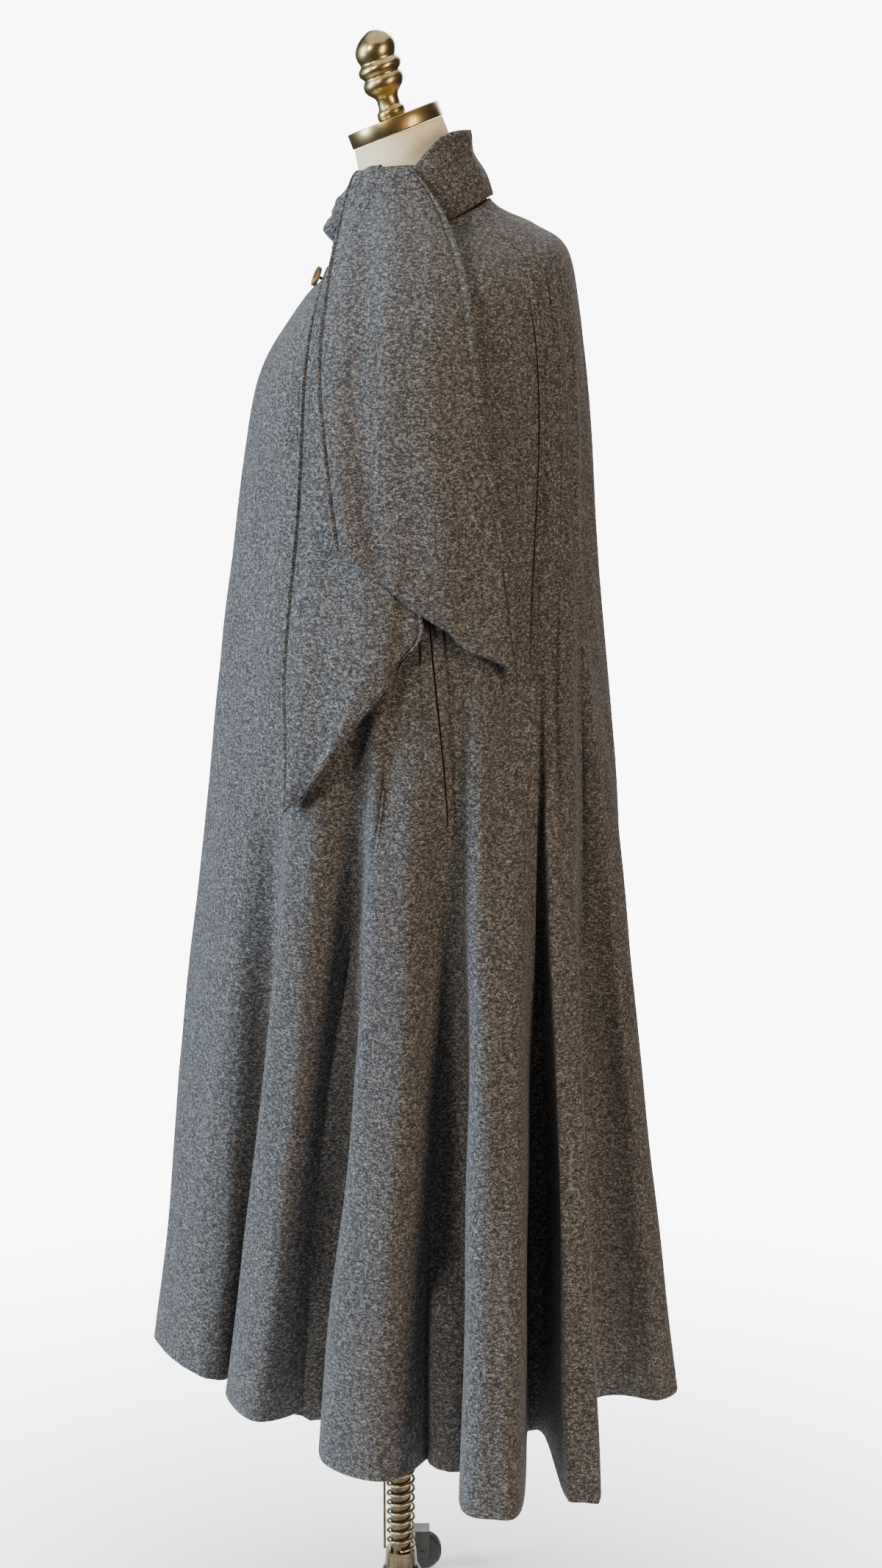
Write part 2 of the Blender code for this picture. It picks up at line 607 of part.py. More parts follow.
def stand():
    """Hub, post, spring, sliding tube, legs and castors."""
    spun("hub", HUB_PROFILE + ((SPRING_FOOT - SEAM_GAP, HUB_NECK_RADIUS),), BRONZE)
    spun("post", ((SPRING_FOOT, POST_RADIUS), (POST_TOP, POST_RADIUS)), BRONZE)
    seat_top = SPRING_HEAD + SEAT_HEIGHT
    sleeve("sliding_tube", seat_top, TORSO_BOTTOM - SEAM_GAP, TUBE_BORE, TUBE_RADIUS, BRONZE)
    sleeve("spring_seat", SPRING_HEAD + SEAM_GAP, seat_top - SEAM_GAP, TUBE_BORE, SEAT_RADIUS, BRONZE)
    spun("guide_rod", ((SPRING_FOOT, ROD_RADIUS), (ROD_TOP, ROD_RADIUS)), BRONZE, 8,
         Matrix.Translation((0, ROD_Y, 0)))
    spring()
    for number in range(LEG_COUNT):
        around = Matrix.Rotation(2 * pi * number / LEG_COUNT, 4, "Z")
        leg(number, around)
        fork(number, around)
        wheel(number, around)


def spring():
    """Round wire wound on the post."""
    low = SPRING_FOOT + WIRE_RADIUS + SEAM_GAP
    height = SPRING_HEAD - WIRE_RADIUS - SEAM_GAP - low
    per_turn = 12
    count = int(height / SPRING_PITCH) * per_turn
    line = bpy.data.curves.new("spring", "CURVE")
    line.dimensions = "3D"
    line.bevel_depth = WIRE_RADIUS
    line.bevel_resolution = 0
    line.use_fill_caps = True
    path = line.splines.new("POLY")
    path.points.add(count)
    for number, point in enumerate(path.points):
        angle = 2 * pi * number / per_turn
        point.co = (SPRING_RADIUS * cos(angle), SPRING_RADIUS * sin(angle), low + height * number / count, 1.0)
    return new_object("spring", line, WIRE)


def bar(name, points, width, depth, finish, matrix):
    """Bar of rectangular section along points in the XZ plane."""
    mesh = bmesh.new()
    rings = []
    for number, (x, z) in enumerate(points):
        before = points[max(number - 1, 0)]
        after = points[min(number + 1, len(points) - 1)]
        along = Vector((after[0] - before[0], 0.0, after[1] - before[1])).normalized()
        up = Vector((-along.z, 0.0, along.x)) * depth / 2
        side = Vector((0.0, width / 2, 0.0))
        centre = Vector((x, 0.0, z))
        rings.append([mesh.verts.new(centre + up * a + side * b)
                      for a, b in ((1, 1), (1, -1), (-1, -1), (-1, 1))])
    for low, high in zip(rings, rings[1:]):
        for side in range(4):
            after = (side + 1) % 4
            mesh.faces.new((low[side], low[after], high[after], high[side]))
    mesh.faces.new(list(reversed(rings[0])))
    mesh.faces.new(rings[-1])
    bmesh.ops.recalc_face_normals(mesh, faces=mesh.faces[:])
    data = bpy.data.meshes.new(name)
    mesh.to_mesh(data)
    mesh.free()
    item = new_object(name, data, finish)
    item.matrix_world = matrix
    return item


def leg(number, around):
    """One arched leg from the hub to its castor."""
    span = LEG_REACH - LEG_ROOT
    arch = [(LEG_ROOT + span * share, LEG_ROOT_Z - LEG_FALL * share + LEG_ARCH * sin(pi * share))
            for share in (0.0, 0.15, 0.35, 0.6, 0.8, 1.0)]
    arch.append((LEG_REACH + LEG_TOE[0], LEG_TOE[1]))
    bar("leg_%d" % number, arch, LEG_WIDTH, LEG_DEPTH, BRONZE, around)


def fork(number, around):
    """Castor's fork, one folded plate with its stem above and the wheel's axle through it."""
    inner = WHEEL_WIDTH / 2 + FORK_SIDE_GAP
    outer = inner + FORK_PLATE
    foot = WHEEL_CENTRE - FORK_DROP
    top = 2 * WHEEL_RADIUS + FORK_TOP_GAP
    outline = ((-outer, foot), (-inner, foot), (-inner, top), (inner, top), (inner, foot), (outer, foot),
               (outer, top + FORK_PLATE), (-outer, top + FORK_PLATE))
    mesh = bmesh.new()
    sheet = mesh.faces.new([mesh.verts.new((x, -CASTOR_TRAIL - FORK_LENGTH / 2, z)) for x, z in outline])
    pushed = bmesh.ops.extrude_face_region(mesh, geom=[sheet])["geom"]
    moved = [item for item in pushed if isinstance(item, bmesh.types.BMVert)]
    bmesh.ops.translate(mesh, vec=(0, FORK_LENGTH, 0), verts=moved)
    bmesh.ops.recalc_face_normals(mesh, faces=mesh.faces[:])
    data = bpy.data.meshes.new("castor_fork_%d" % number)
    mesh.to_mesh(data)
    mesh.free()
    place = around @ Matrix.Translation((LEG_REACH, 0, 0))
    body = new_object("castor_fork_%d" % number, data, IRON)
    body.matrix_world = place
    across = Matrix.Translation((0, -CASTOR_TRAIL, WHEEL_CENTRE)) @ Matrix.Rotation(pi / 2, 4, "Y")
    forward = Matrix.Translation((0, BRIDGE_Y, 0))
    added = (
        ("shelf", top + 0.0001, top + FORK_PLATE - 0.0001, SHELF_RADIUS, Matrix.Identity(4)),
        ("bridge", top + 0.0002, top + FORK_PLATE - 0.0002, SHELF_RADIUS, forward),
        ("stem", top + FORK_PLATE / 2, STEM_TOP, STEM_RADIUS, Matrix.Identity(4)),
        ("axle", -outer - AXLE_END, outer + AXLE_END, AXLE_RADIUS, across),
    )
    for name, low, high, radius, local in added:
        piece = spun("%s_%d" % (name, number), ((low, radius), (high, radius)), IRON, 12, place @ local)
        piece.hide_render = True
        piece.display_type = "WIRE"
        union = body.modifiers.new(name, "BOOLEAN")
        union.operation = "UNION"
        union.solver = "EXACT"
        union.object = piece


def wheel(number, around):
    """Castor's wheel with a bored hub, standing on one flat of its tread."""
    half = WHEEL_WIDTH / 2
    bore = AXLE_RADIUS + AXLE_CLEARANCE
    shoulder = WHEEL_RADIUS - WHEEL_CHAMFER
    outline = ((bore, -half), (shoulder, -half), (WHEEL_RADIUS, WHEEL_CHAMFER - half),
               (WHEEL_RADIUS, half - WHEEL_CHAMFER), (shoulder, half), (bore, half))
    tyre = turned_ring("castor_wheel_%d" % number, outline, RUBBER, WHEEL_SIDES, 0.5)
    place = Matrix.Translation((LEG_REACH, -CASTOR_TRAIL, WHEEL_CENTRE)) @ Matrix.Rotation(pi / 2, 4, "Y")
    tyre.matrix_world = around @ place


def build():
    """Clear the scene and make every piece."""
    for item in list(bpy.data.objects):
        bpy.data.objects.remove(item, do_unlink=True)
    cape_panel("cape_front_left", FRONT_EDGE_TURN, SIDE_SEAM_TURN, SLIT_TURN)
    cape_panel("cape_back", SIDE_SEAM_TURN, 360.0 - SIDE_SEAM_TURN)
    cape_panel("cape_front_right", 360.0 - SIDE_SEAM_TURN, 360.0 + UNDERLAP_TURN, 360.0 - SLIT_TURN, True)
    collar()
    knot()
    scarf_end("scarf_end_upper", SCARF_UPPER_ROWS)
    scarf_end("scarf_end_lower", SCARF_LOWER_ROWS)
    button()
    dress_form()
    head_parts()
    stand()
    axis = bpy.data.objects.new("pole_axis", None)
    axis.location = (0.0, POLE_Y, 0.0)
    bpy.context.collection.objects.link(axis)
    for item in bpy.data.objects:
        if item is not axis:
            item.parent = axis


build()
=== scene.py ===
import logging
from dataclasses import dataclass
from enum import Enum
from math import cos, pi, radians, sin
from typing import Callable, Optional, Sequence

import bmesh
import bpy
import numpy as np
from mathutils import Matrix, Vector


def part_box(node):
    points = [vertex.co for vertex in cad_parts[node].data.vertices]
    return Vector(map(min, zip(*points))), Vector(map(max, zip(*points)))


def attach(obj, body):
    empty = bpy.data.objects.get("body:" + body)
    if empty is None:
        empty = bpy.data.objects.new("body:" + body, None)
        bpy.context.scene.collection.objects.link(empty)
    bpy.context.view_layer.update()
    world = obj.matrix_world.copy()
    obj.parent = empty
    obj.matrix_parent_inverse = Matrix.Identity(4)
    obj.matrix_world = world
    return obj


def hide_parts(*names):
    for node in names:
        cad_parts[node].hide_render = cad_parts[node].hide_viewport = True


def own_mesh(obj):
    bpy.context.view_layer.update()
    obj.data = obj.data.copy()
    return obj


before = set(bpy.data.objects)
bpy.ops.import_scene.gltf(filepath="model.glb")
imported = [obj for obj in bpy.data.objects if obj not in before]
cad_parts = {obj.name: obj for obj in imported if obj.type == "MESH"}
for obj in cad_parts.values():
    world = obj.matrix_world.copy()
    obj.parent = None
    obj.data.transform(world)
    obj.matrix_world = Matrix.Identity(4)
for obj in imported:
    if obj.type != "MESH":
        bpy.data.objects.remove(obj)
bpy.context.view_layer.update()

LOG = logging.getLogger("cape")

# ---------------------------------------------------------------- driving sizes, in metres and degrees
POLE_Y = -0.0155
CENTRE_Y = 0.02
FRONT_EDGE_TURN = -7.0
UNDERLAP_TURN = 6.0
UNDERLAP_INSET = 0.0040
UNDERLAP_STEP = (346.0, 352.0)
SIDE_SEAM_TURN = 125.0
SLIT_TURN = 96.0
SLIT_LEAN = 26.0
SLIT_LEAN_REACH = 9.0
SLIT_HEIGHTS = (1.035, 1.300)
SLIT_HALF_TURN = 0.24
STITCH_INSET_TURN = 3.6
COLLAR_RISE = 2.4
CLOTH = 0.0020
SCARF_CLOTH = 0.0030
SEAM_GAP = 0.0003
CREST_DEPTH = 0.35
FOLD_POWER = 1.3
PLEAT_EDGE = 0.8
PLEAT_SPAN = 6.0
NECK_TILT = 21.1
CAP_CENTRE = (0.0, -0.0011, 1.7001)
FINIAL_SWAY = 0.12
METRES_PER_TURN = 0.0044


@dataclass(frozen=True)
class BodyRow:
    """One ring of the smooth body: how far forward, sideways and back it reaches, and how high."""

    front: float
    front_z: float
    side: float
    side_z: float
    back: float
    back_z: float


BODY_ROWS = (
    BodyRow(-0.045, 1.652, 0.066, 1.660, 0.072, 1.694),   # collar top
    BodyRow(-0.052, 1.562, 0.073, 1.604, 0.094, 1.629),   # neck seam
    BodyRow(-0.083, 1.541, 0.125, 1.584, 0.138, 1.604),   # shoulder slope
    BodyRow(-0.108, 1.508, 0.176, 1.552, 0.172, 1.580),   # shoulder end
    BodyRow(-0.135, 1.463, 0.205, 1.505, 0.185, 1.523),   # upper arm
    BodyRow(-0.150, 1.412, 0.223, 1.440, 0.195, 1.430),   # chest
    BodyRow(-0.166, 1.300, 0.241, 1.300, 0.203, 1.300),   # slit top
    BodyRow(-0.184, 1.170, 0.256, 1.170, 0.214, 1.170),   # elbow
    BodyRow(-0.199, 1.035, 0.271, 1.035, 0.230, 1.035),   # slit foot
    BodyRow(-0.218, 0.870, 0.288, 0.870, 0.248, 0.870),   # hip
    BodyRow(-0.238, 0.700, 0.304, 0.700, 0.268, 0.700),   # knee
    BodyRow(-0.255, 0.530, 0.320, 0.530, 0.288, 0.530),   # calf
    BodyRow(-0.272, 0.395, 0.335, 0.360, 0.309, 0.358),   # hem
)
HEM_DROP = len(BODY_ROWS) - 2


@dataclass(frozen=True)
class Flute:
    """One flute of the skirt: crest, width of its round end, the valley after it, start and lean."""

    turn: float
    crest_x: float
    crest_y: float
    width: float
    valley_turn: float
    valley_x: float
    valley_y: float
    start: float
    lean: float


FLUTES = (
    Flute(0.0, -0.015, -0.272, 0.170, 52.0, 0.075, -0.165, 1.20, 0.0),
    Flute(66.0, 0.150, -0.150, 0.120, 80.0, 0.115, -0.075, 1.14, 0.0),
    Flute(92.0, 0.278, -0.012, 0.130, 104.0, 0.235, 0.058, 1.30, 0.0),
    Flute(115.0, 0.358, 0.094, 0.062, 125.0, 0.160, 0.142, 1.12, 11.0),
    Flute(137.0, 0.322, 0.186, 0.058, 149.0, 0.100, 0.215, 1.30, 4.0),
    Flute(164.0, 0.045, 0.303, 0.070, 180.0, -0.005, 0.262, 1.10, 0.0),
    Flute(196.0, -0.062, 0.303, 0.085, 213.0, -0.115, 0.212, 1.05, -3.0),
    Flute(225.0, -0.262, 0.240, 0.070, 235.0, -0.175, 0.140, 1.25, -10.0),
    Flute(247.0, -0.360, 0.096, 0.070, 258.0, -0.225, 0.050, 1.10, 0.0),
    Flute(270.0, -0.286, -0.018, 0.120, 283.0, -0.130, -0.082, 1.25, 0.0),
    Flute(297.0, -0.170, -0.160, 0.105, 311.0, -0.085, -0.168, 1.12, 0.0),
)


@dataclass(frozen=True)
class Pleat:
    """A pressed pleat from the shoulder blade: where it is, its two ends, its depth and its groove."""

    turn: float
    start: float
    end: float
    depth: float
    groove: float = 0.0115


PLEATS = (
    Pleat(125.0, 1.56, 0.60, 0.0050, 0.0040),
    Pleat(136.0, 1.53, 0.95, 0.0040),
    Pleat(149.0, 1.53, 0.70, 0.0050),
    Pleat(211.0, 1.53, 0.75, 0.0045),
    Pleat(224.0, 1.52, 1.00, 0.0040),
    Pleat(235.0, 1.55, 0.65, 0.0050, 0.0040),
)


@dataclass(frozen=True)
class Crease:
    """A soft trough (negative) or ridge from one place to another, with its breadth and height."""

    high_turn: float
    high_z: float
    low_turn: float
    low_z: float
    breadth: float
    height: float


CREASES = (
    Crease(50.5, 1.485, 44.0, 1.345, 0.012, -0.0110),
    Crease(57.0, 1.495, 52.0, 1.360, 0.012, 0.0060),
    Crease(47.5, 1.20, 49.0, -0.30, 0.024, -0.0240),
    Crease(59.0, 1.12, 60.0, 0.12, 0.018, 0.0060),
    Crease(73.0, 1.27, 76.5, -0.30, 0.024, -0.0400),
    Crease(83.5, 1.24, 84.0, 0.16, 0.016, 0.0080),
    Crease(99.0, 1.14, 100.0, -0.30, 0.022, -0.0300),
    Crease(129.5, 1.10, 129.0, -0.30, 0.026, -0.0120),
    Crease(148.0, 1.12, 149.0, -0.30, 0.030, -0.0160),
    Crease(180.0, 1.00, 180.0, -0.30, 0.034, -0.0140),
    Crease(213.0, 1.02, 213.0, -0.30, 0.032, -0.0180),
    Crease(258.0, 1.06, 258.0, -0.30, 0.034, -0.0200),
    Crease(283.0, 1.20, 283.0, -0.30, 0.034, -0.0240),
    Crease(311.0, 1.14, 311.0, -0.30, 0.032, -0.0160),
    Crease(60.0, 1.44, 49.0, 1.06, 0.016, -0.0045),
    Crease(40.0, 1.46, 33.0, 0.98, 0.020, -0.0030),
    Crease(20.0, 1.42, 14.0, 0.80, 0.026, 0.0030),
    Crease(70.0, 1.10, 62.0, 0.60, 0.016, -0.0030),
    Crease(88.0, 1.02, 86.0, 0.46, 0.018, -0.0035),
    Crease(97.0, 0.98, 99.0, 0.52, 0.016, 0.0035),
    Crease(110.0, 1.30, 108.0, 0.82, 0.014, 0.0035),
    Crease(119.0, 1.42, 117.0, 0.98, 0.010, -0.0022),
    Crease(121.5, 1.50, 121.0, 1.10, 0.006, -0.0012),
    Crease(141.5, 1.50, 141.0, 0.90, 0.008, -0.0020),
    Crease(158.0, 1.50, 157.0, 0.80, 0.018, -0.0035),
    Crease(172.0, 1.46, 170.0, 0.95, 0.022, 0.0030),
    Crease(188.0, 1.50, 190.0, 0.85, 0.020, -0.0035),
    Crease(203.0, 1.48, 204.0, 0.92, 0.018, 0.0030),
    Crease(218.0, 1.48, 218.0, 0.90, 0.010, -0.0022),
    Crease(242.0, 1.44, 244.0, 0.96, 0.014, -0.0035),
    Crease(256.0, 1.36, 258.0, 0.78, 0.018, 0.0035),
    Crease(276.0, 1.20, 278.0, 0.60, 0.018, -0.0035),
    Crease(292.0, 1.44, 296.0, 0.90, 0.020, -0.0040),
    Crease(310.0, 1.46, 318.0, 0.96, 0.022, -0.0040),
    Crease(330.0, 1.42, 336.0, 0.78, 0.026, 0.0030),
)


@dataclass(frozen=True)
class ScarfRow:
    """A line across a scarf end from its front edge to its back edge, and its height off the cape."""

    front_turn: float
    front_z: float
    back_turn: float
    back_z: float
    lift: float


SCARF_UPPER_ROWS = (
    ScarfRow(38.0, 1.652, 88.0, 1.656, 0.012),
    ScarfRow(36.0, 1.636, 97.0, 1.646, 0.020),
    ScarfRow(37.0, 1.604, 104.0, 1.622, 0.025),
    ScarfRow(46.0, 1.564, 106.0, 1.590, 0.023),
    ScarfRow(56.2, 1.531, 106.0, 1.548, 0.019),
    ScarfRow(58.5, 1.490, 106.0, 1.500, 0.017),
    ScarfRow(60.5, 1.445, 106.6, 1.455, 0.017),
    ScarfRow(64.0, 1.385, 108.0, 1.381, 0.018),
    ScarfRow(67.0, 1.340, 111.0, 1.300, 0.020),
    ScarfRow(69.0, 1.305, 116.7, 1.177, 0.021),
)
SCARF_LOWER_ROWS = (
    ScarfRow(34.0, 1.558, 84.0, 1.590, 0.007),
    ScarfRow(44.5, 1.521, 88.0, 1.530, 0.006),
    ScarfRow(50.0, 1.480, 90.0, 1.460, 0.006),
    ScarfRow(52.5, 1.420, 91.0, 1.390, 0.008),
    ScarfRow(53.5, 1.331, 91.5, 1.320, 0.010),
    ScarfRow(53.0, 1.250, 92.0, 1.255, 0.011),
    ScarfRow(53.5, 1.175, 92.0, 1.220, 0.012),
    ScarfRow(56.3, 1.103, 84.0, 1.185, 0.012),
    ScarfRow(58.0, 1.060, 74.0, 1.130, 0.012),
    ScarfRow(58.6, 1.044, 64.5, 1.070, 0.012),
)


# ---------------------------------------------------------------- small helpers
def smooth_at(values: np.ndarray, at: np.ndarray) -> np.ndarray:
    """Catmull-Rom value between a table's entries.

    Args:
        values: one column of a table.
        at: fractional indices into it.

    Returns:
        The smooth values, in the shape of at.
    """
    index = np.clip(np.floor(at).astype(int), 0, len(values) - 2)
    part = at - index
    a = values[np.maximum(index - 1, 0)]
    b = values[index]
    c = values[index + 1]
    d = values[np.minimum(index + 2, len(values) - 1)]
    return b + 0.5 * part * (c - a + part * (2 * a - 5 * b + 4 * c - d + part * (3 * (b - c) + d - a)))


def eased(low: float, high: float, value: np.ndarray) -> np.ndarray:
    """Share from 0 to 1 of the way from low to high, eased at both ends."""
    share = np.clip((value - low) / (high - low), 0.0, 1.0)
    return share * share * (3 - 2 * share)


def unit(vectors: np.ndarray) -> np.ndarray:
    """Vectors of an array scaled to length one."""
    return vectors / np.maximum(np.linalg.norm(vectors, axis=-1, keepdims=True), 1e-12)


def grid_normals(points: np.ndarray) -> np.ndarray:
    """Outward directions of a grid whose rows run down and columns run towards growing turn."""
    down = np.gradient(points, axis=0)
    along = np.gradient(points, axis=1)
    return unit(np.cross(down, along))


# ---------------------------------------------------------------- the draped shape
class CapeSurface:
    """The cape's outer surface as a function of turn and drop, in the frame of the part."""

    def __init__(self) -> None:
        """Read the tables into columns."""
        self.rows = {name: np.array([getattr(row, name) for row in BODY_ROWS])
                     for name in ("front", "front_z", "side", "side_z", "back", "back_z")}
        self.knots = self._knots()

    def _knots(self) -> np.ndarray:
        """Turn, x, y, start and lean of the hem's knots over three rounds of the body."""
        knots = []
        for number, flute in enumerate(FLUTES):
            before = FLUTES[number - 1]
            turn_before = before.valley_turn - (360.0 if number == 0 else 0.0)
            crest = np.array((flute.crest_x, flute.crest_y))
            root = np.array((before.valley_x + flute.valley_x, before.valley_y + flute.valley_y)) / 2
            out = unit(crest - root)
            along = np.array((-out[1], out[0]))
            flank = crest - out * CREST_DEPTH * flute.width
            left = flank - along * flute.width / 2
            right = flank + along * flute.width / 2
            middle_lean = (before.lean + flute.lean) / 2
            knots.append(((turn_before + flute.turn) / 2, *left, flute.start, middle_lean))
            knots.append((flute.turn, *crest, flute.start, middle_lean))
            knots.append(((flute.turn + flute.valley_turn) / 2, *right, flute.start, flute.lean))
            knots.append((flute.valley_turn, flute.valley_x, flute.valley_y, flute.start, flute.lean))
        one = np.array(knots)
        return np.concatenate([one + np.array((360.0 * rounds, 0, 0, 0, 0)) for rounds in (-1, 0, 1)])

    def hem(self, turn: np.ndarray) -> np.ndarray:
        """x, y, start and lean of the hem's curve, on a last axis of four."""
        knots = self.knots
        index = np.searchsorted(knots[:, 0], turn, side="right") - 1
        a, b, c, d = (knots[index + step] for step in (-1, 0, 1, 2))
        span = (c[..., 0] - b[..., 0])[..., None]
        part = (turn - b[..., 0])[..., None] / span
        slope_b = (c - a)[..., 1:] / (c - a)[..., :1] * span
        slope_c = (d - b)[..., 1:] / (d - b)[..., :1] * span
        return (b[..., 1:] * (2 * part ** 3 - 3 * part ** 2 + 1)
                + slope_b * (part ** 3 - 2 * part ** 2 + part)
                + c[..., 1:] * (3 * part ** 2 - 2 * part ** 3) + slope_c * (part ** 3 - part ** 2))

    def body(self, turn: np.ndarray, drop: np.ndarray) -> np.ndarray:
        """Points of the smooth body that the cape falls over, with no folds, around the pole."""
        row = {name: smooth_at(values, drop + 1) for name, values in self.rows.items()}
        forward = np.cos(np.radians(turn))
        weight = forward * forward
        climbed = 1 - (1 - np.abs(forward)) ** COLLAR_RISE
        weight = np.where((drop < 0) & (forward < 0), weight + (weight - climbed) * drop, weight)
        end_y = np.where(forward > 0, row["front"], row["back"])
        end_z = np.where(forward > 0, row["front_z"], row["back_z"])
        return np.stack((row["side"] * np.sin(np.radians(turn)),
                         CENTRE_Y - np.abs(end_y - CENTRE_Y) * forward,
                         row["side_z"] + (end_z - row["side_z"]) * weight), axis=-1)

    def draped(self, turn: np.ndarray, drop: np.ndarray) -> np.ndarray:
        """Points with flutes and pleats, around the pole."""
        hem = self.hem(turn)
        plain = self.body(turn, drop)
        height = plain[..., 2]
        leaned = self.body(turn + hem[..., 3] * eased(1.04, 1.50, height), drop)
        foot = self.body(turn, np.full_like(drop, float(HEM_DROP)))
        growth = np.maximum(hem[..., 2] - height, 0.0) / (hem[..., 2] - foot[..., 2])
        inset = np.zeros_like(height)
        for pleat in PLEATS:
            past = (turn - pleat.turn + 180.0) % 360.0 - 180.0
            edge = np.clip(np.minimum(past / PLEAT_EDGE,
                                      (PLEAT_SPAN - past) / (PLEAT_SPAN - PLEAT_EDGE)), 0, 1)
            fade = eased(pleat.start, pleat.start - 0.08, height) * eased(pleat.end, pleat.end + 0.3, height)
            inset = inset + pleat.depth * fade * edge
        inward = unit(np.stack((-leaned[..., 0], CENTRE_Y - leaned[..., 1], np.zeros_like(height)), axis=-1))
        points = leaned + inward * inset[..., None]
        points[..., :2] += (hem[..., :2] - foot[..., :2]) * (growth ** FOLD_POWER)[..., None]
        return points

    def relief(self, turn: np.ndarray, height: np.ndarray) -> np.ndarray:
        """Height of the listed creases and of the cloth's own slight unevenness."""
        relief = np.zeros_like(height)
        for crease in CREASES:
            share = (crease.high_z - height) / (crease.high_z - crease.low_z)
            middle = crease.high_turn + (crease.low_turn - crease.high_turn) * share
            away = (turn - middle) * METRES_PER_TURN / crease.breadth
            fade = eased(0.0, 0.3, share) * eased(1.0, 0.65, share)
            relief = relief + crease.height * fade * np.exp(-away * away)
        for pleat in PLEATS:
            past = ((turn - pleat.turn + 180.0) % 360.0 - 180.0) * METRES_PER_TURN
            fade = (eased(pleat.start + 0.05, pleat.start - 0.02, height)
                    * eased(pleat.end, pleat.end + 0.3, height))
            relief = relief + fade * (0.0024 * np.exp(-((past + 0.0022) / 0.0032) ** 2)
                                      - pleat.groove * np.exp(-((past - 0.0030) / 0.0033) ** 2))
        waves = (0.0008 * np.sin(radians(1) * turn * 11 + height * 9.0)
                 + 0.0006 * np.sin(radians(1) * turn * 23 - height * 17.0 + 1.3)
                 + 0.0004 * np.sin(radians(1) * turn * 41 + height * 29.0 + 0.4))
        return relief + waves * eased(1.60, 1.45, height)

    def points(self, turn: np.ndarray, drop: np.ndarray, lift: np.ndarray | float = 0.0) -> np.ndarray:
        """Finished points of the cape's outer face, in the frame of the part.

        Args:
            turn: turns of a grid, in degrees.
            drop: drops of the same grid.
            lift: distance off the surface.

        Returns:
            The points, on a last axis of three.
        """
        base = self.draped(turn, drop)
        height = base[..., 2]
        offset = self.relief(turn, height) + lift
        points = base + self.directions(turn, drop) * np.asarray(offset)[..., None]
        points[..., 1] += POLE_Y
        return points

    def directions(self, turn: np.ndarray, drop: np.ndarray, turn_step: float = 0.5,
                   drop_step: float = 0.05) -> np.ndarray:
        """Outward directions of the fluted surface."""
        low = np.maximum(drop - drop_step, -1.0)
        high = np.minimum(drop + drop_step, float(HEM_DROP))
        down = self.draped(turn, high) - self.draped(turn, low)
        along = self.draped(turn + turn_step, drop) - self.draped(turn - turn_step, drop)
        return unit(np.cross(down, along))

    def drop_at(self, turn: np.ndarray, height: np.ndarray) -> np.ndarray:
        """Drops at which the smooth body passes the heights."""
        low = np.full_like(turn, -1.0)
        high = np.full_like(turn, float(HEM_DROP))
        for _ in range(30):
            middle = (low + high) / 2
            above = self.body(turn, middle)[..., 2] > height
            low = np.where(above, middle, low)
            high = np.where(above, high, middle)
        return (low + high) / 2

    def leaned_turn(self, turn: np.ndarray, drop: np.ndarray) -> np.ndarray:
        """Turns of the cloth's lines, which lean with the arm slits beside them."""
        height = np.clip(self.body(turn, drop)[..., 2], *SLIT_HEIGHTS)
        lean = (1.17 - height) * SLIT_LEAN
        shifted = turn
        for way, middle in ((1, SLIT_TURN), (-1, 360.0 - SLIT_TURN)):
            shifted = shifted + way * lean * np.maximum(1 - np.abs(turn - middle) / SLIT_LEAN_REACH, 0.0)
        return shifted


SURFACE = CapeSurface()


# ---------------------------------------------------------------- shader maths
class Socket:
    """A shader socket that Python's operators turn into nodes."""

    def __init__(self, tree: bpy.types.NodeTree, output: bpy.types.NodeSocket) -> None:
        """Wrap an output of a node tree."""
        self.tree = tree
        self.output = output

    def _math(self, operation: str, other: "Socket | float", swapped: bool = False) -> "Socket":
        """A Math node on this value and another one."""
        first, second = (other, self) if swapped else (self, other)
        return Shader(self.tree).node("ShaderNodeMath", {"operation": operation}, {0: first, 1: second})

    def __add__(self, other: "Socket | float") -> "Socket":
        """Sum."""
        return self._math("ADD", other)

    def __mul__(self, other: "Socket | float") -> "Socket":
        """Product."""
        return self._math("MULTIPLY", other)

    def __sub__(self, other: "Socket | float") -> "Socket":
        """Difference."""
        return self._math("SUBTRACT", other)

    def __rsub__(self, other: float) -> "Socket":
        """Difference from a number."""
        return self._math("SUBTRACT", other, True)

    __radd__ = __add__
    __rmul__ = __mul__


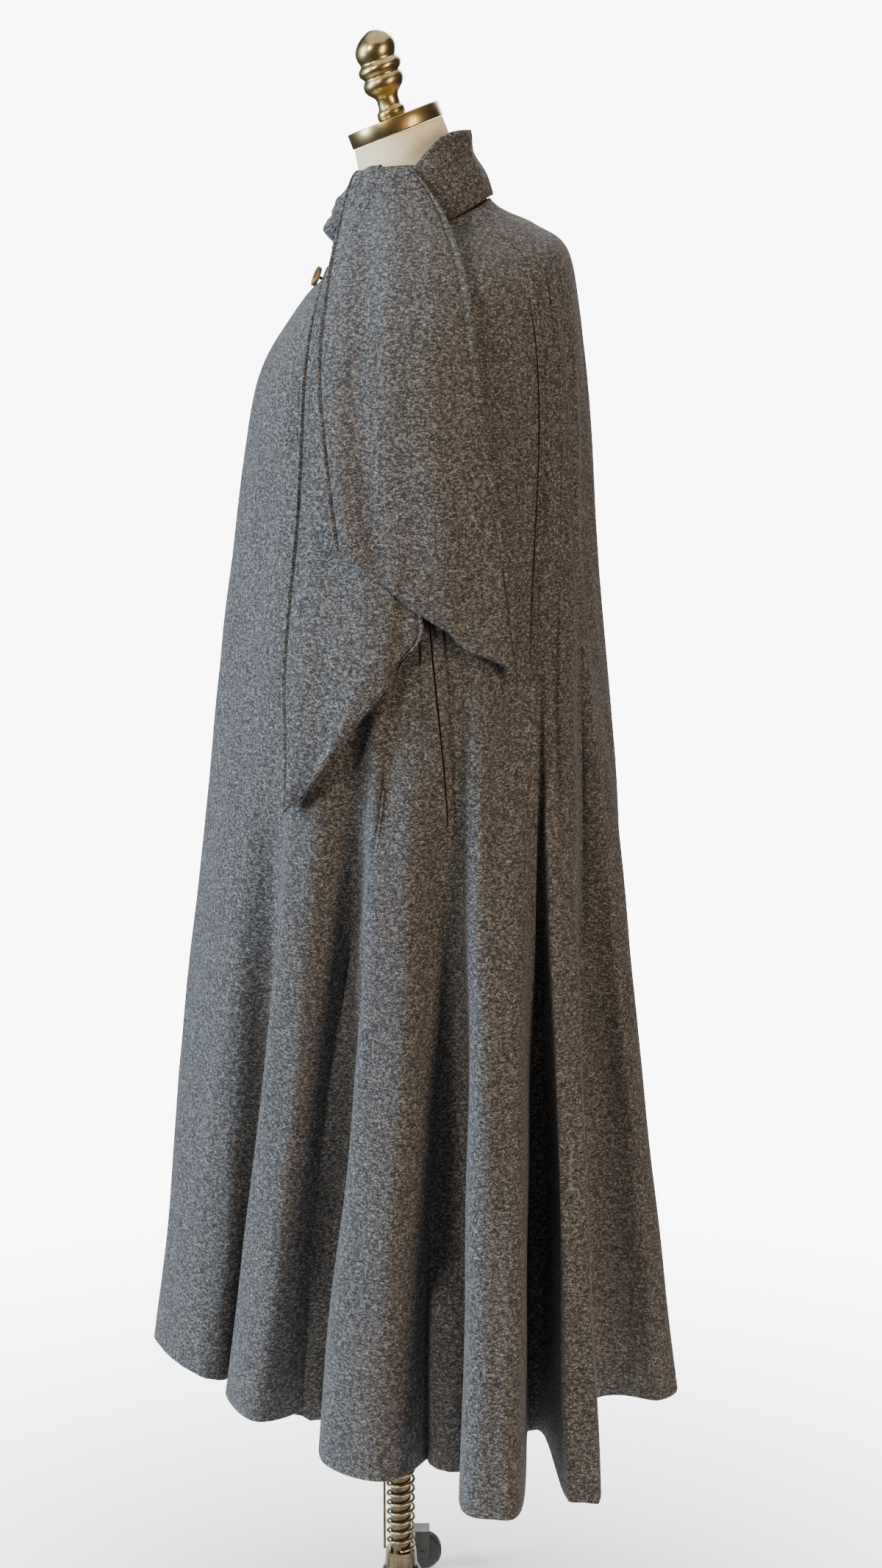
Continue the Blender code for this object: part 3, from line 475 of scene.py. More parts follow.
class Shader:
    """Builds the nodes of one material."""

    def __init__(self, tree: bpy.types.NodeTree) -> None:
        """Work on a node tree."""
        self.tree = tree

    def node(self, kind: str, settings: Optional[dict] = None, values: Optional[dict] = None,
             out: int | str = 0) -> Socket:
        """Add a node.

        Args:
            kind: the node's type.
            settings: properties set first, such as an operation; a ramp's stops are under "stops".
            values: numbers or sockets by input.
            out: which output to return.

        Returns:
            The chosen output.
        """
        node = self.tree.nodes.new(kind)
        for name, value in (settings or {}).items():
            if name == "stops":
                for number, (place, colour) in enumerate(value):
                    ramp = node.color_ramp.elements
                    stop = ramp[number] if number < 2 else ramp.new(place)
                    stop.position = place
                    stop.color = (*colour, 1.0)
            else:
                setattr(node, name, value)
        for name, value in (values or {}).items():
            if isinstance(value, Socket):
                self.tree.links.new(value.output, node.inputs[name])
            else:
                node.inputs[name].default_value = value
        return Socket(self.tree, node.outputs[out])

    def place(self) -> Socket:
        """Object coordinates."""
        return self.node("ShaderNodeTexCoord", out="Object")

    def noise(self, scale: float, detail: float = 2.0, rough: float = 0.5,
              at: Optional[Socket] = None) -> Socket:
        """Noise from 0 to 1 over the object."""
        return self.node("ShaderNodeTexNoise", None,
                         {"Vector": at or self.place(), "Scale": scale, "Detail": detail, "Roughness": rough})

    def ramp(self, value: Socket, low: float, high: float) -> Socket:
        """Value stretched so that low becomes 0 and high becomes 1."""
        return self.node("ShaderNodeMapRange", {"clamp": True},
                         {"Value": value, "From Min": low, "From Max": high})

    def mix(self, share: Socket | float, first: object, second: object) -> Socket:
        """Mix of two colours."""
        node = self.tree.nodes.new("ShaderNodeMix")
        node.data_type = "RGBA"
        for place, value in ((0, share), (6, first), (7, second)):
            if isinstance(value, Socket):
                self.tree.links.new(value.output, node.inputs[place])
            else:
                node.inputs[place].default_value = (*value, 1.0) if place else value
        return Socket(self.tree, node.outputs[2])

    def bump(self, height: Socket, strength: float, distance: float) -> Socket:
        """Bumped normal."""
        return self.node("ShaderNodeBump", None,
                         {"Height": height, "Strength": strength, "Distance": distance})


def principled(name: str, constants: dict, varied: Callable[[Shader], dict]) -> bpy.types.Material:
    """A Principled material.

    Args:
        name: the finish's name.
        constants: numbers set on the shader's own sockets.
        varied: makes the nodes of what changes over the surface, by input.

    Returns:
        The material.
    """
    material = bpy.data.materials.new(name)
    material.use_nodes = True
    tree = material.node_tree
    bsdf = tree.nodes["Principled BSDF"]
    for key, value in constants.items():
        bsdf.inputs[key].default_value = value
    for key, socket in varied(Shader(tree)).items():
        tree.links.new(socket.output, bsdf.inputs[key])
    return material


@dataclass(frozen=True)
class WoolFlannel:
    """Heathered wool: dark and light fibres carded together, with a soft nap."""

    name: str = "wool flannel"
    dark: tuple = (0.011, 0.0105, 0.011)
    light: tuple = (0.42, 0.40, 0.38)
    warm: tuple = (0.100, 0.080, 0.064)
    cool: tuple = (0.058, 0.065, 0.078)

    def material(self) -> bpy.types.Material:
        """Build the cloth's material."""
        def varied(shader: Shader) -> dict:
            lying = shader.node("ShaderNodeMapping", {"vector_type": "POINT"},
                                {"Vector": shader.place(), "Scale": (1.0, 1.0, 1.7)})
            fleck = shader.noise(520.0, 3.0, 0.8, lying)
            clump = shader.noise(230.0, 2.0, 0.6, lying)
            fibre = shader.ramp(fleck * 0.66 + clump * 0.34, 0.41, 0.63)
            tint = shader.mix(shader.ramp(shader.noise(420.0, 1.0), 0.38, 0.62), self.cool, self.warm)
            heather = shader.mix(0.22, shader.mix(fibre * fibre, self.dark, self.light), tint)
            wear = shader.ramp(shader.noise(7.0, 2.0), 0.3, 0.7)
            colour = shader.mix(wear * 0.06, heather, (0.09, 0.088, 0.087))
            return {"Base Color": colour, "Roughness": 0.86 + 0.12 * clump,
                    "Normal": shader.bump(fleck * 0.6 + clump * 0.4, 0.45, 0.0012)}

        return principled(self.name, {"Sheen Weight": 0.10, "Sheen Roughness": 0.5,
                                      "Sheen Tint": (0.72, 0.78, 0.88, 1.0),
                                       "Specular IOR Level": 0.2}, varied)


@dataclass(frozen=True)
class WoolThread:
    """Topstitching thread, a little darker and smoother than the cloth."""

    name: str = "topstitch thread"
    colour: tuple = (0.055, 0.054, 0.056)

    def material(self) -> bpy.types.Material:
        """Build the thread's material."""
        def varied(shader: Shader) -> dict:
            twist = shader.noise(1500.0, 1.0)
            lighter = tuple(value * 1.9 for value in self.colour)
            return {"Base Color": shader.mix(twist, self.colour, lighter),
                    "Normal": shader.bump(twist, 0.3, 0.0003)}

        return principled(self.name, {"Roughness": 0.7}, varied)


@dataclass(frozen=True)
class Linen:
    """Plain woven cream linen: two crossing sets of uneven threads."""

    name: str = "cream linen"
    colour: tuple = (1.0, 0.83, 0.52)
    threads: float = 1250.0

    def material(self) -> bpy.types.Material:
        """Build the linen's material."""
        def varied(shader: Shader) -> dict:
            place = shader.place()
            slub = shader.noise(90.0, 2.0, 0.6, place)
            warp = shader.node("ShaderNodeTexWave", {"wave_type": "BANDS", "bands_direction": "Z"},
                               {"Vector": place, "Scale": self.threads / 20,
                                 "Distortion": 1.2, "Detail": 1.0})
            weft = shader.node("ShaderNodeTexWave", {"wave_type": "BANDS", "bands_direction": "DIAGONAL"},
                               {"Vector": place, "Scale": self.threads / 20,
                                 "Distortion": 1.2, "Detail": 1.0})
            weave = warp * 0.5 + weft * 0.5
            darker = tuple(value * 0.93 for value in self.colour)
            soiled = shader.ramp(shader.noise(14.0, 3.0), 0.35, 0.75)
            base = shader.mix(weave, darker, self.colour)
            return {"Base Color": shader.mix(soiled * 0.15, base, (0.80, 0.66, 0.42)),
                    "Roughness": 0.82 + 0.12 * slub,
                    "Normal": shader.bump(weave * 0.7 + slub * 0.3, 0.25, 0.0004)}

        return principled(self.name, {"Sheen Weight": 0.08, "Specular IOR Level": 0.3}, varied)


@dataclass(frozen=True)
class AntiqueMetal:
    """Lacquered metal with a mottled patina."""

    name: str
    bright: tuple
    dark: tuple
    rough: float
    mottle: float = 40.0
    metallic: float = 1.0

    def material(self) -> bpy.types.Material:
        """Build the metal's material."""
        def varied(shader: Shader) -> dict:
            cloud = shader.noise(self.mottle, 4.0, 0.6)
            speck = shader.noise(self.mottle * 9, 3.0, 0.7)
            patina = shader.ramp(cloud * 0.65 + speck * 0.35, 0.38, 0.62)
            return {"Base Color": shader.mix(patina, self.dark, self.bright),
                    "Roughness": (1 - patina) * 0.18 + self.rough,
                    "Normal": shader.bump(speck, 0.08, 0.0005)}

        return principled(self.name, {"Metallic": self.metallic, "Coat Weight": 0.4,
                                      "Coat Roughness": 0.12}, varied)


@dataclass(frozen=True)
class Horn:
    """Polished brown horn with paler streaks."""

    name: str = "horn"
    dark: tuple = (0.115, 0.055, 0.024)
    light: tuple = (0.42, 0.25, 0.13)

    def material(self) -> bpy.types.Material:
        """Build the button's material."""
        def varied(shader: Shader) -> dict:
            streak = shader.node("ShaderNodeTexWave", {"wave_type": "RINGS"},
                                 {"Vector": shader.place(), "Scale": 26.0, "Distortion": 9.0, "Detail": 3.0})
            return {"Base Color": shader.mix(streak, self.dark, self.light),
                    "Roughness": 0.22 + 0.15 * streak}

        return principled(self.name, {"Coat Weight": 0.5, "Coat Roughness": 0.1}, varied)


@dataclass(frozen=True)
class Rubber:
    """Black tyre rubber with a dusty tread."""

    name: str = "castor rubber"

    def material(self) -> bpy.types.Material:
        """Build the wheels' material."""
        def varied(shader: Shader) -> dict:
            dust = shader.ramp(shader.noise(120.0, 4.0, 0.65), 0.45, 0.75)
            return {"Base Color": shader.mix(dust * 0.3, (0.006, 0.006, 0.007), (0.045, 0.042, 0.038)),
                    "Roughness": 0.45 + 0.35 * dust, "Normal": shader.bump(dust, 0.1, 0.0004)}

        return principled(self.name, {}, varied)


class Finish(Enum):
    """Named finishes and the record's material slots that they stand for."""

    WOOL = "wool"
    THREAD = "thread"
    LINEN = "linen"
    GOLD = "antique_gold"
    BRONZE = "bronze"
    WIRE = "spring_wire"
    IRON = "iron"
    RUBBER = "rubber"
    HORN = "button"


class Wardrobe:
    """Makes each finish once and dresses pieces in it."""

    recipes = {
        Finish.WOOL: WoolFlannel(),
        Finish.THREAD: WoolThread(),
        Finish.LINEN: Linen(),
        Finish.GOLD: AntiqueMetal("antique gold", (0.60, 0.45, 0.20), (0.30, 0.21, 0.085), 0.24),
        Finish.BRONZE: AntiqueMetal("dark bronze", (0.20, 0.145, 0.075), (0.055, 0.040, 0.022), 0.26),
        Finish.WIRE: AntiqueMetal("spring wire", (0.60, 0.46, 0.26), (0.26, 0.19, 0.10), 0.22, 120.0),
        Finish.IRON: AntiqueMetal("dark iron", (0.045, 0.040, 0.034), (0.016, 0.014, 0.012), 0.38),
        Finish.RUBBER: Rubber(),
        Finish.HORN: Horn(),
    }

    def __init__(self) -> None:
        """Start with nothing made."""
        self.made: dict = {}

    def dress(self, piece: bpy.types.Object, finish: Finish) -> bpy.types.Object:
        """Give a piece its finish."""
        if finish not in self.made:
            self.made[finish] = self.recipes[finish].material()
        piece.data.materials.clear()
        piece.data.materials.append(self.made[finish])
        return piece


WARDROBE = Wardrobe()


# ---------------------------------------------------------------- making meshes
def deselect() -> None:
    """Select nothing, so that an operator acts only on what is added next."""
    if bpy.context.object and bpy.context.object.mode != "OBJECT":
        bpy.ops.object.mode_set(mode="OBJECT")
    bpy.ops.object.select_all(action="DESELECT")


def new_mesh(name: str, points: np.ndarray, faces: Sequence) -> bpy.types.Object:
    """A linked, smooth-shaded mesh object at the origin."""
    mesh = bpy.data.meshes.new(name)
    mesh.from_pydata([tuple(point) for point in points], [], [tuple(face) for face in faces])
    mesh.shade_smooth()
    piece = bpy.data.objects.new(name, mesh)
    bpy.context.collection.objects.link(piece)
    return piece


def wall(name: str, middle: np.ndarray, thickness: float, out: np.ndarray,
         missing: Optional[np.ndarray] = None, edge: float = 0.45) -> bpy.types.Object:
    """Closed cloth wall about a grid of points, thinned at its edges as a folded or cut edge is.

    Args:
        name: the piece's name.
        middle: points of the wall's outer face, rows down and columns towards growing turn.
        thickness: the cloth's thickness.
        out: outward directions at the points.
        missing: true for each cell of the grid that is left out.
        edge: the share of the thickness that is left at an edge.

    Returns:
        The piece.
    """
    rows, columns = middle.shape[:2]
    keep = np.ones((rows - 1, columns - 1), bool) if missing is None else ~missing
    around = np.zeros((rows + 1, columns + 1), bool)
    around[1:-1, 1:-1] = keep
    full = around[:-1, :-1] & around[1:, :-1] & around[:-1, 1:] & around[1:, 1:]
    half = np.where(full, 0.5, 0.5 * edge)[..., None] * thickness * out
    centre = middle - out * thickness / 2
    points = np.concatenate([(centre + half).reshape(-1, 3), (centre - half).reshape(-1, 3)])
    number = np.arange(rows * columns).reshape(rows, columns)
    inner = rows * columns
    top, low = number[:-1, :-1], number[1:, :-1]
    low_right, top_right = number[1:, 1:], number[:-1, 1:]
    front = np.stack((top, low, low_right, top_right), -1)[keep]
    faces = [front, front[:, ::-1] + inner]
    sides = (
        (keep & ~around[1:-1, :-2], top, low),
        (keep & ~around[2:, 1:-1], low, low_right),
        (keep & ~around[1:-1, 2:], low_right, top_right),
        (keep & ~around[:-2, 1:-1], top_right, top),
    )
    for where, first, second in sides:
        a, b = first[where], second[where]
        faces.append(np.stack((b, a, a + inner, b + inner), -1))
    quads = np.concatenate(faces)
    used = np.unique(quads)
    renumber = np.zeros(len(points), int)
    renumber[used] = np.arange(len(used))
    piece = new_mesh(name, points[used], renumber[quads].tolist())
    LOG.info("%s: %.4f square metres of cloth", name, sum(face.area for face in piece.data.polygons) / 2)
    return piece


def stitches(name: str, paths: Sequence[np.ndarray], outs: Sequence[np.ndarray], pitch: float = 0.0036,
             length: float = 0.0025, radius: float = 0.00032) -> bpy.types.Object:
    """Rows of small thread stitches along paths that lie on the cloth.

    Args:
        name: the piece's name.
        paths: points along each row.
        outs: outward directions at those points.
        pitch: from one stitch to the next.
        length: of one stitch.
        radius: of the thread.

    Returns:
        One piece with every stitch.
    """
    points, faces = [], []
    for path, out in zip(paths, outs):
        steps = np.linalg.norm(np.diff(path, axis=0), axis=1)
        along = np.concatenate([[0.0], np.cumsum(steps)])
        starts = np.arange(pitch / 2, along[-1] - length, pitch)
        for start in starts:
            places = start + np.array((0.0, 0.25, 0.75, 1.0)) * length
            line = np.stack([np.interp(places, along, path[:, axis]) for axis in range(3)], -1)
            up = unit(np.stack([np.interp(start, along, out[:, axis]) for axis in range(3)], -1))
            run = unit(line[-1] - line[0])
            side = np.cross(run, up)
            first = len(points)
            for place, (share, rise) in zip(line, ((0.3, -0.5), (1.0, 0.6), (1.0, 0.6), (0.3, -0.5))):
                for angle in (0.0, pi / 2, pi, 3 * pi / 2):
                    points.append(place + up * radius * rise
                                  + share * radius * (cos(angle) * side + sin(angle) * up))
            for ring in range(3):
                low, high = first + 4 * ring, first + 4 * ring + 4
                for corner in range(4):
                    after = (corner + 1) % 4
                    faces.append((low + corner, high + corner, high + after, low + after))
            faces.append((first, first + 1, first + 2, first + 3))
            faces.append((first + 15, first + 14, first + 13, first + 12))
    return new_mesh(name, np.array(points), faces)


def ride_form(piece: bpy.types.Object, finish: Finish, *nodes: str) -> bpy.types.Object:
    """Dress a piece, let it ride on the sliding form and stand for its CAD nodes."""
    WARDROBE.dress(piece, finish)
    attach(piece, "form")
    if nodes:
        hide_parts(*nodes)
    LOG.info("%s: %d faces", piece.name, len(piece.data.polygons))
    return piece


# ---------------------------------------------------------------- the coat
@dataclass
class CapePanel:
    """One panel of the cape between two turns."""

    node: str
    low: float
    high: float
    flat: tuple
    area: float
    slit_turn: Optional[float] = None
    underlap: bool = False
    seam_low: bool = True
    seam_high: bool = True
    allowance: float = 0.007
    per_knot: int = 9
    per_drop: int = 12

    def turns(self) -> np.ndarray:
        """Turns of the panel's lines, closer together at pleats, the slit and its topstitching."""
        knots = SURFACE.knots[:, 0]
        inside = [self.low, self.high]
        for here, after in zip(knots, knots[1:]):
            inside += [here + (after - here) * step / self.per_knot for step in range(self.per_knot)]
        for pleat in PLEATS:
            inside += [pleat.turn + share * PLEAT_EDGE
                       for share in (-1.0, -0.5, 0.0, 0.33, 0.67, 1.0, 1.35, 1.8, 2.4)]
        must = [self.low, self.high]
        if self.slit_turn is not None:
            must += [self.slit_turn - SLIT_HALF_TURN, self.slit_turn + SLIT_HALF_TURN]
            for way in (-1, 1):
                for offset in (-0.5, -0.25, 0.0, 0.25, 0.5):
                    inside.append(self.slit_turn + way * STITCH_INSET_TURN + offset)
                for offset in (0.5, 0.9, 1.5):
                    inside.append(self.slit_turn + way * offset)
        if self.underlap:
            must += list(UNDERLAP_STEP)
        kept: list = []
        for turn in sorted(set(round(value, 4) for value in inside + must)):
            if not self.low <= turn <= self.high:
                continue
            fixed = any(abs(turn - value) < 1e-3 for value in must)
            if self.slit_turn is not None and not fixed and abs(turn - self.slit_turn) < SLIT_HALF_TURN + 0.1:
                continue
            if kept and turn - kept[-1] < 0.12:
                if fixed and not any(abs(kept[-1] - value) < 1e-3 for value in must):
                    kept[-1] = turn
                elif fixed:
                    kept.append(turn)
                continue
            kept.append(turn)
        return np.array(kept)

    def drops(self) -> np.ndarray:
        """Drops of the panel's rows, with rows at the slit's ends and close to both edges."""
        rows = np.arange(0, HEM_DROP * self.per_drop + 1) / self.per_drop
        return np.unique(np.concatenate([rows, (0.02, 0.05, HEM_DROP - 0.06, HEM_DROP - 0.02)]))

    def grid(self) -> tuple:
        """Turns, drops, outer points and outward directions, with the seams' allowances turned inside."""
        turns, step = self.turns(), 0.3
        turn, drop = np.meshgrid(np.concatenate([[turns[0] - step], turns, [turns[-1] + step]]), self.drops())
        leaned = SURFACE.leaned_turn(turn, drop)
        points = SURFACE.points(leaned, drop, self.detail(turn, leaned, drop))
        broad = SURFACE.directions(leaned, drop)
        if self.underlap:
            points = points - broad * (UNDERLAP_INSET * eased(*UNDERLAP_STEP, turn))[..., None]
        out = unit(grid_normals(points) * 0.75 + broad * 0.25)
        turn, drop, points, out = (grid[:, 1:-1] for grid in (turn, drop, points, out))
        if self.seam_low:
            along = unit(points[:, 1] - points[:, 0])
            flap = points[:, 0] - out[:, 0] * self.allowance + along * 0.0012
            turn, drop = (np.concatenate([grid[:, :1], grid], axis=1) for grid in (turn, drop))
            points = np.concatenate([flap[:, None], points], axis=1)
            out = np.concatenate([unit(out[:, 0] * 0.2 - along)[:, None], out], axis=1)
        if self.seam_high:
            along = unit(points[:, -1] - points[:, -2])
            flap = points[:, -1] - out[:, -1] * self.allowance - along * 0.0012
            turn, drop = (np.concatenate([grid, grid[:, -1:]], axis=1) for grid in (turn, drop))
            points = np.concatenate([points, flap[:, None]], axis=1)
            out = np.concatenate([out, unit(out[:, -1] * 0.2 + along)[:, None]], axis=1)
        return turn, drop, points, out

    def detail(self, turn: np.ndarray, leaned: np.ndarray, drop: np.ndarray) -> np.ndarray:
        """Fine relief: the slit's lips and the grooves of its topstitching."""
        relief = np.zeros_like(turn)
        if self.slit_turn is None:
            return relief
        height = SURFACE.body(leaned, drop)[..., 2]
        low, high = SLIT_HEIGHTS
        inside = eased(low - 0.012, low + 0.012, height) * eased(high + 0.012, high - 0.012, height)
        away = np.abs(turn - self.slit_turn)
        relief += 0.0022 * inside * eased(STITCH_INSET_TURN + 0.7, STITCH_INSET_TURN - 0.1, away)
        relief += 0.0008 * inside * np.exp(-(away / 0.8) ** 2)
        relief -= 0.0026 * inside * np.exp(-((away - STITCH_INSET_TURN) / 0.30) ** 2)
        return relief

    def build(self) -> bpy.types.Object:
        """Make the panel, its slit and its topstitching."""
        turn, drop, points, out = self.grid()
        missing = None
        if self.slit_turn is not None:
            height = SURFACE.body(turn, drop)[..., 2]
            inside_rows = ((height[:-1, :-1] < SLIT_HEIGHTS[1] + 1e-4)
                           & (height[1:, :-1] > SLIT_HEIGHTS[0] - 1e-4))
            middle = (turn[:-1, :-1] + turn[:-1, 1:]) / 2
            missing = inside_rows & (np.abs(middle - self.slit_turn) < SLIT_HALF_TURN)
        piece = wall(self.node + "_cloth", points, CLOTH, out, missing)
        ride_form(piece, Finish.WOOL, self.node)
        extra = self.topstitching() if self.slit_turn is not None else []
        return piece

    def topstitching(self) -> list:
        """Stitches round the arm slit and the bar tack at its foot."""
        low, high = SLIT_HEIGHTS
        paths, outs = [], []
        for way in (-1, 1):
            height = np.linspace(high + 0.006, low - 0.004, 120)
            turn = np.full_like(height, self.slit_turn + way * STITCH_INSET_TURN)
            drop = SURFACE.drop_at(turn, height)
            leaned = SURFACE.leaned_turn(turn, drop)
            paths.append(SURFACE.points(leaned, drop, -0.0004))
            outs.append(SURFACE.directions(leaned, drop))
        turn = self.slit_turn + np.linspace(-STITCH_INSET_TURN, STITCH_INSET_TURN, 30)
        drop = SURFACE.drop_at(turn, np.full_like(turn, low - 0.004))
        leaned = SURFACE.leaned_turn(turn, drop)
        paths.append(SURFACE.points(leaned, drop, 0.0001))
        outs.append(SURFACE.directions(leaned, drop))
        piece = stitches(self.node + "_slit_stitches", paths, outs)
        return [ride_form(piece, Finish.THREAD)]


@dataclass
class ScarfEnd:
    """A hanging end of the scarf."""

    node: str
    rows: tuple
    flat: tuple
    area: float
    trough: float
    trough_height: float
    ripple: float
    bridged: float
    roll: float = 0.0
    width: float = 0.18
    columns: int = 64
    per_row: int = 12
    stitch_inset: float = 0.0055

    def place(self, share: np.ndarray, at: np.ndarray, lift: float = 0.0) -> tuple:
        """Points and outward directions at a share across and a fractional row."""
        field_of = {name: smooth_at(np.array([getattr(row, name) for row in self.rows]), at)
                    for name in ("front_turn", "front_z", "back_turn", "back_z", "lift")}
        turn = field_of["front_turn"] + (field_of["back_turn"] - field_of["front_turn"]) * share
        height = field_of["front_z"] + (field_of["back_z"] - field_of["front_z"]) * share
        drop = SURFACE.drop_at(turn, height)
        out = SURFACE.directions(turn, drop, 4.0, 0.3)
        last = len(self.rows) - 1
        fall = at / last
        off = field_of["lift"] + SCARF_CLOTH / 2 + lift
        off = off + self.trough_height * np.exp(
            -((share - self.trough - 0.05 * np.sin(fall * 5)) / 0.11) ** 2) \
            * eased(0.05, 0.3, fall)
        off = off + self.ripple * np.sin(share * 9.0 + 0.8) * eased(0.55, 1.0, fall)
        off = off + 0.0006 * np.sin(share * 21 + fall * 7) + 0.0005 * np.sin(share * 6 - fall * 19)
        base = SURFACE.draped(turn, drop)
        base[..., 1] += POLE_Y
        return base + out * off[..., None], out

    def rows_down(self) -> np.ndarray:
        """Fractional rows of the grid, at one pitch so that they can be eased along the cloth."""
        last = len(self.rows) - 1
        return np.linspace(0, last, last * self.per_row + 1)

    def eased_points(self, share: np.ndarray, lift: float = 0.0) -> np.ndarray:
        """Points of the cloth with the hollow between neck and shoulder bridged, as hanging cloth does."""
        at = self.rows_down()
        points = self.place(*np.meshgrid(share, at), lift)[0]
        slack = (eased(0.0, 0.8, at) * eased(self.bridged + 1.5, self.bridged, at))[:, None, None]
        for _ in range(90):
            middle = (points[:-2] + points[2:]) / 2
            points[1:-1] += (middle - points[1:-1]) * slack[1:-1]
        return points

    def build(self) -> bpy.types.Object:
        """Make the cloth, the roll along its top and its edge stitching."""
        share = np.linspace(0, 1, self.columns + 1)
        side = self.stitch_inset / self.width
        edges = [way + sign * offset for way, sign in ((0, 1), (1, -1))
                 for offset in (0.004, 0.010, side - 0.014, side - 0.006, side, side + 0.006, side + 0.014)]
        share = np.unique(np.round(np.concatenate([share, edges]), 5))
        points = self.eased_points(share)
        normals = grid_normals(points)
        groove = sum(np.exp(-((share - middle) / 0.0085) ** 2) for middle in (side, 1 - side))
        welt = eased(side * 1.1, side * 0.4, share) + eased(1 - side * 1.1, 1 - side * 0.4, share)
        points = points + normals * (0.0009 * welt - 0.0019 * groove)[None, :, None]
        if self.roll:
            up, out = unit(points[0] - points[1]), normals[0]
            turns = [points[0] + up * self.roll * sin(angle) - out * self.roll * (1 - cos(angle))
                     for angle in (pi * 0.95, pi * 0.8, pi * 0.65, pi * 0.5, pi * 0.35, pi * 0.2, pi * 0.1)]
            hanging = turns[0] - up * self.roll
            points = np.concatenate([np.stack([hanging] + turns), points])
        piece = wall(self.node + "_cloth", points, SCARF_CLOTH, grid_normals(points))
        ride_form(piece, Finish.WOOL, self.node)
        self.edge_stitches()
        return piece

    def edge_stitches(self) -> bpy.types.Object:
        """One row of stitches along both edges and the slanting end."""
        side = self.stitch_inset / self.width
        share = np.linspace(side, 1 - side, 90)
        points = self.eased_points(share)
        normals = grid_normals(points)
        points = points - normals * 0.0012
        begin = self.per_row // 2
        low = -2
        paths = [points[begin:low + 1, 0], points[low, :], points[begin:low + 1, -1]]
        outs = [normals[begin:low + 1, 0], normals[low, :], normals[begin:low + 1, -1]]
        return ride_form(stitches(self.node + "_stitches", paths, outs), Finish.THREAD)


@dataclass
class Collar:
    """The stand of the scarf collar, two layers of flannel folded at the top."""

    node: str = "collar"
    turns: tuple = (58.0, 338.0)
    flat: tuple = (0.42, 0.075)
    thickness: float = 0.0026

    def place(self, turn: np.ndarray, rise: np.ndarray, lift: float = 0.0) -> np.ndarray:
        """Outer points at a turn and a rise from 0 at the neck seam to 1 at the top."""
        zero = np.zeros_like(turn)
        foot, top = SURFACE.body(turn, zero), SURFACE.body(turn, zero - 1.0)
        away = np.stack((np.sin(np.radians(turn)), -np.cos(np.radians(turn)), zero), -1)
        points = foot + (top - foot) * rise[..., None]
        swell = 0.003 + 0.0022 * np.sin(rise * pi) + 0.0012 * np.sin(np.radians(turn) * 7 + rise * 2.5) \
            + 0.0008 * np.sin(np.radians(turn) * 13 - rise * 4.0) + lift
        backward = eased(0.35, 0.9, -np.cos(np.radians(turn)))
        swell = swell - 0.0060 * backward * np.exp(-((rise - 0.66) / 0.22) ** 2)
        swell = swell - 0.0085 * eased(0.03, -0.04, rise)
        points = points + away * swell[..., None]
        points[..., 2] += 0.002
        points[..., 1] += POLE_Y
        return points

    def build(self) -> bpy.types.Object:
        """Make the collar and its two rows of stitches."""
        turn = np.linspace(*self.turns, 190)
        rise = np.concatenate([(1.0, 0.99, 0.97), np.linspace(0.94, 0.06, 34),
                               (0.04, 0.02, 0.0, -0.02, -0.05, -0.12)])
        turn, rise = np.meshgrid(turn, rise)
        points = self.place(turn, rise)
        piece = wall(self.node + "_cloth", points, self.thickness, grid_normals(points))
        ride_form(piece, Finish.WOOL, self.node)
        paths, outs = [], []
        for level in (0.93, 0.07):
            line = np.linspace(self.turns[0] + 2, self.turns[1] - 2, 220)
            path = self.place(line, np.full_like(line, level), 0.0001)
            paths.append(path)
            outs.append(np.stack((np.sin(np.radians(line)), -np.cos(np.radians(line)),
                                  np.zeros_like(line)), -1))
        thread = ride_form(stitches("collar_stitches", paths, outs), Finish.THREAD)
        return piece


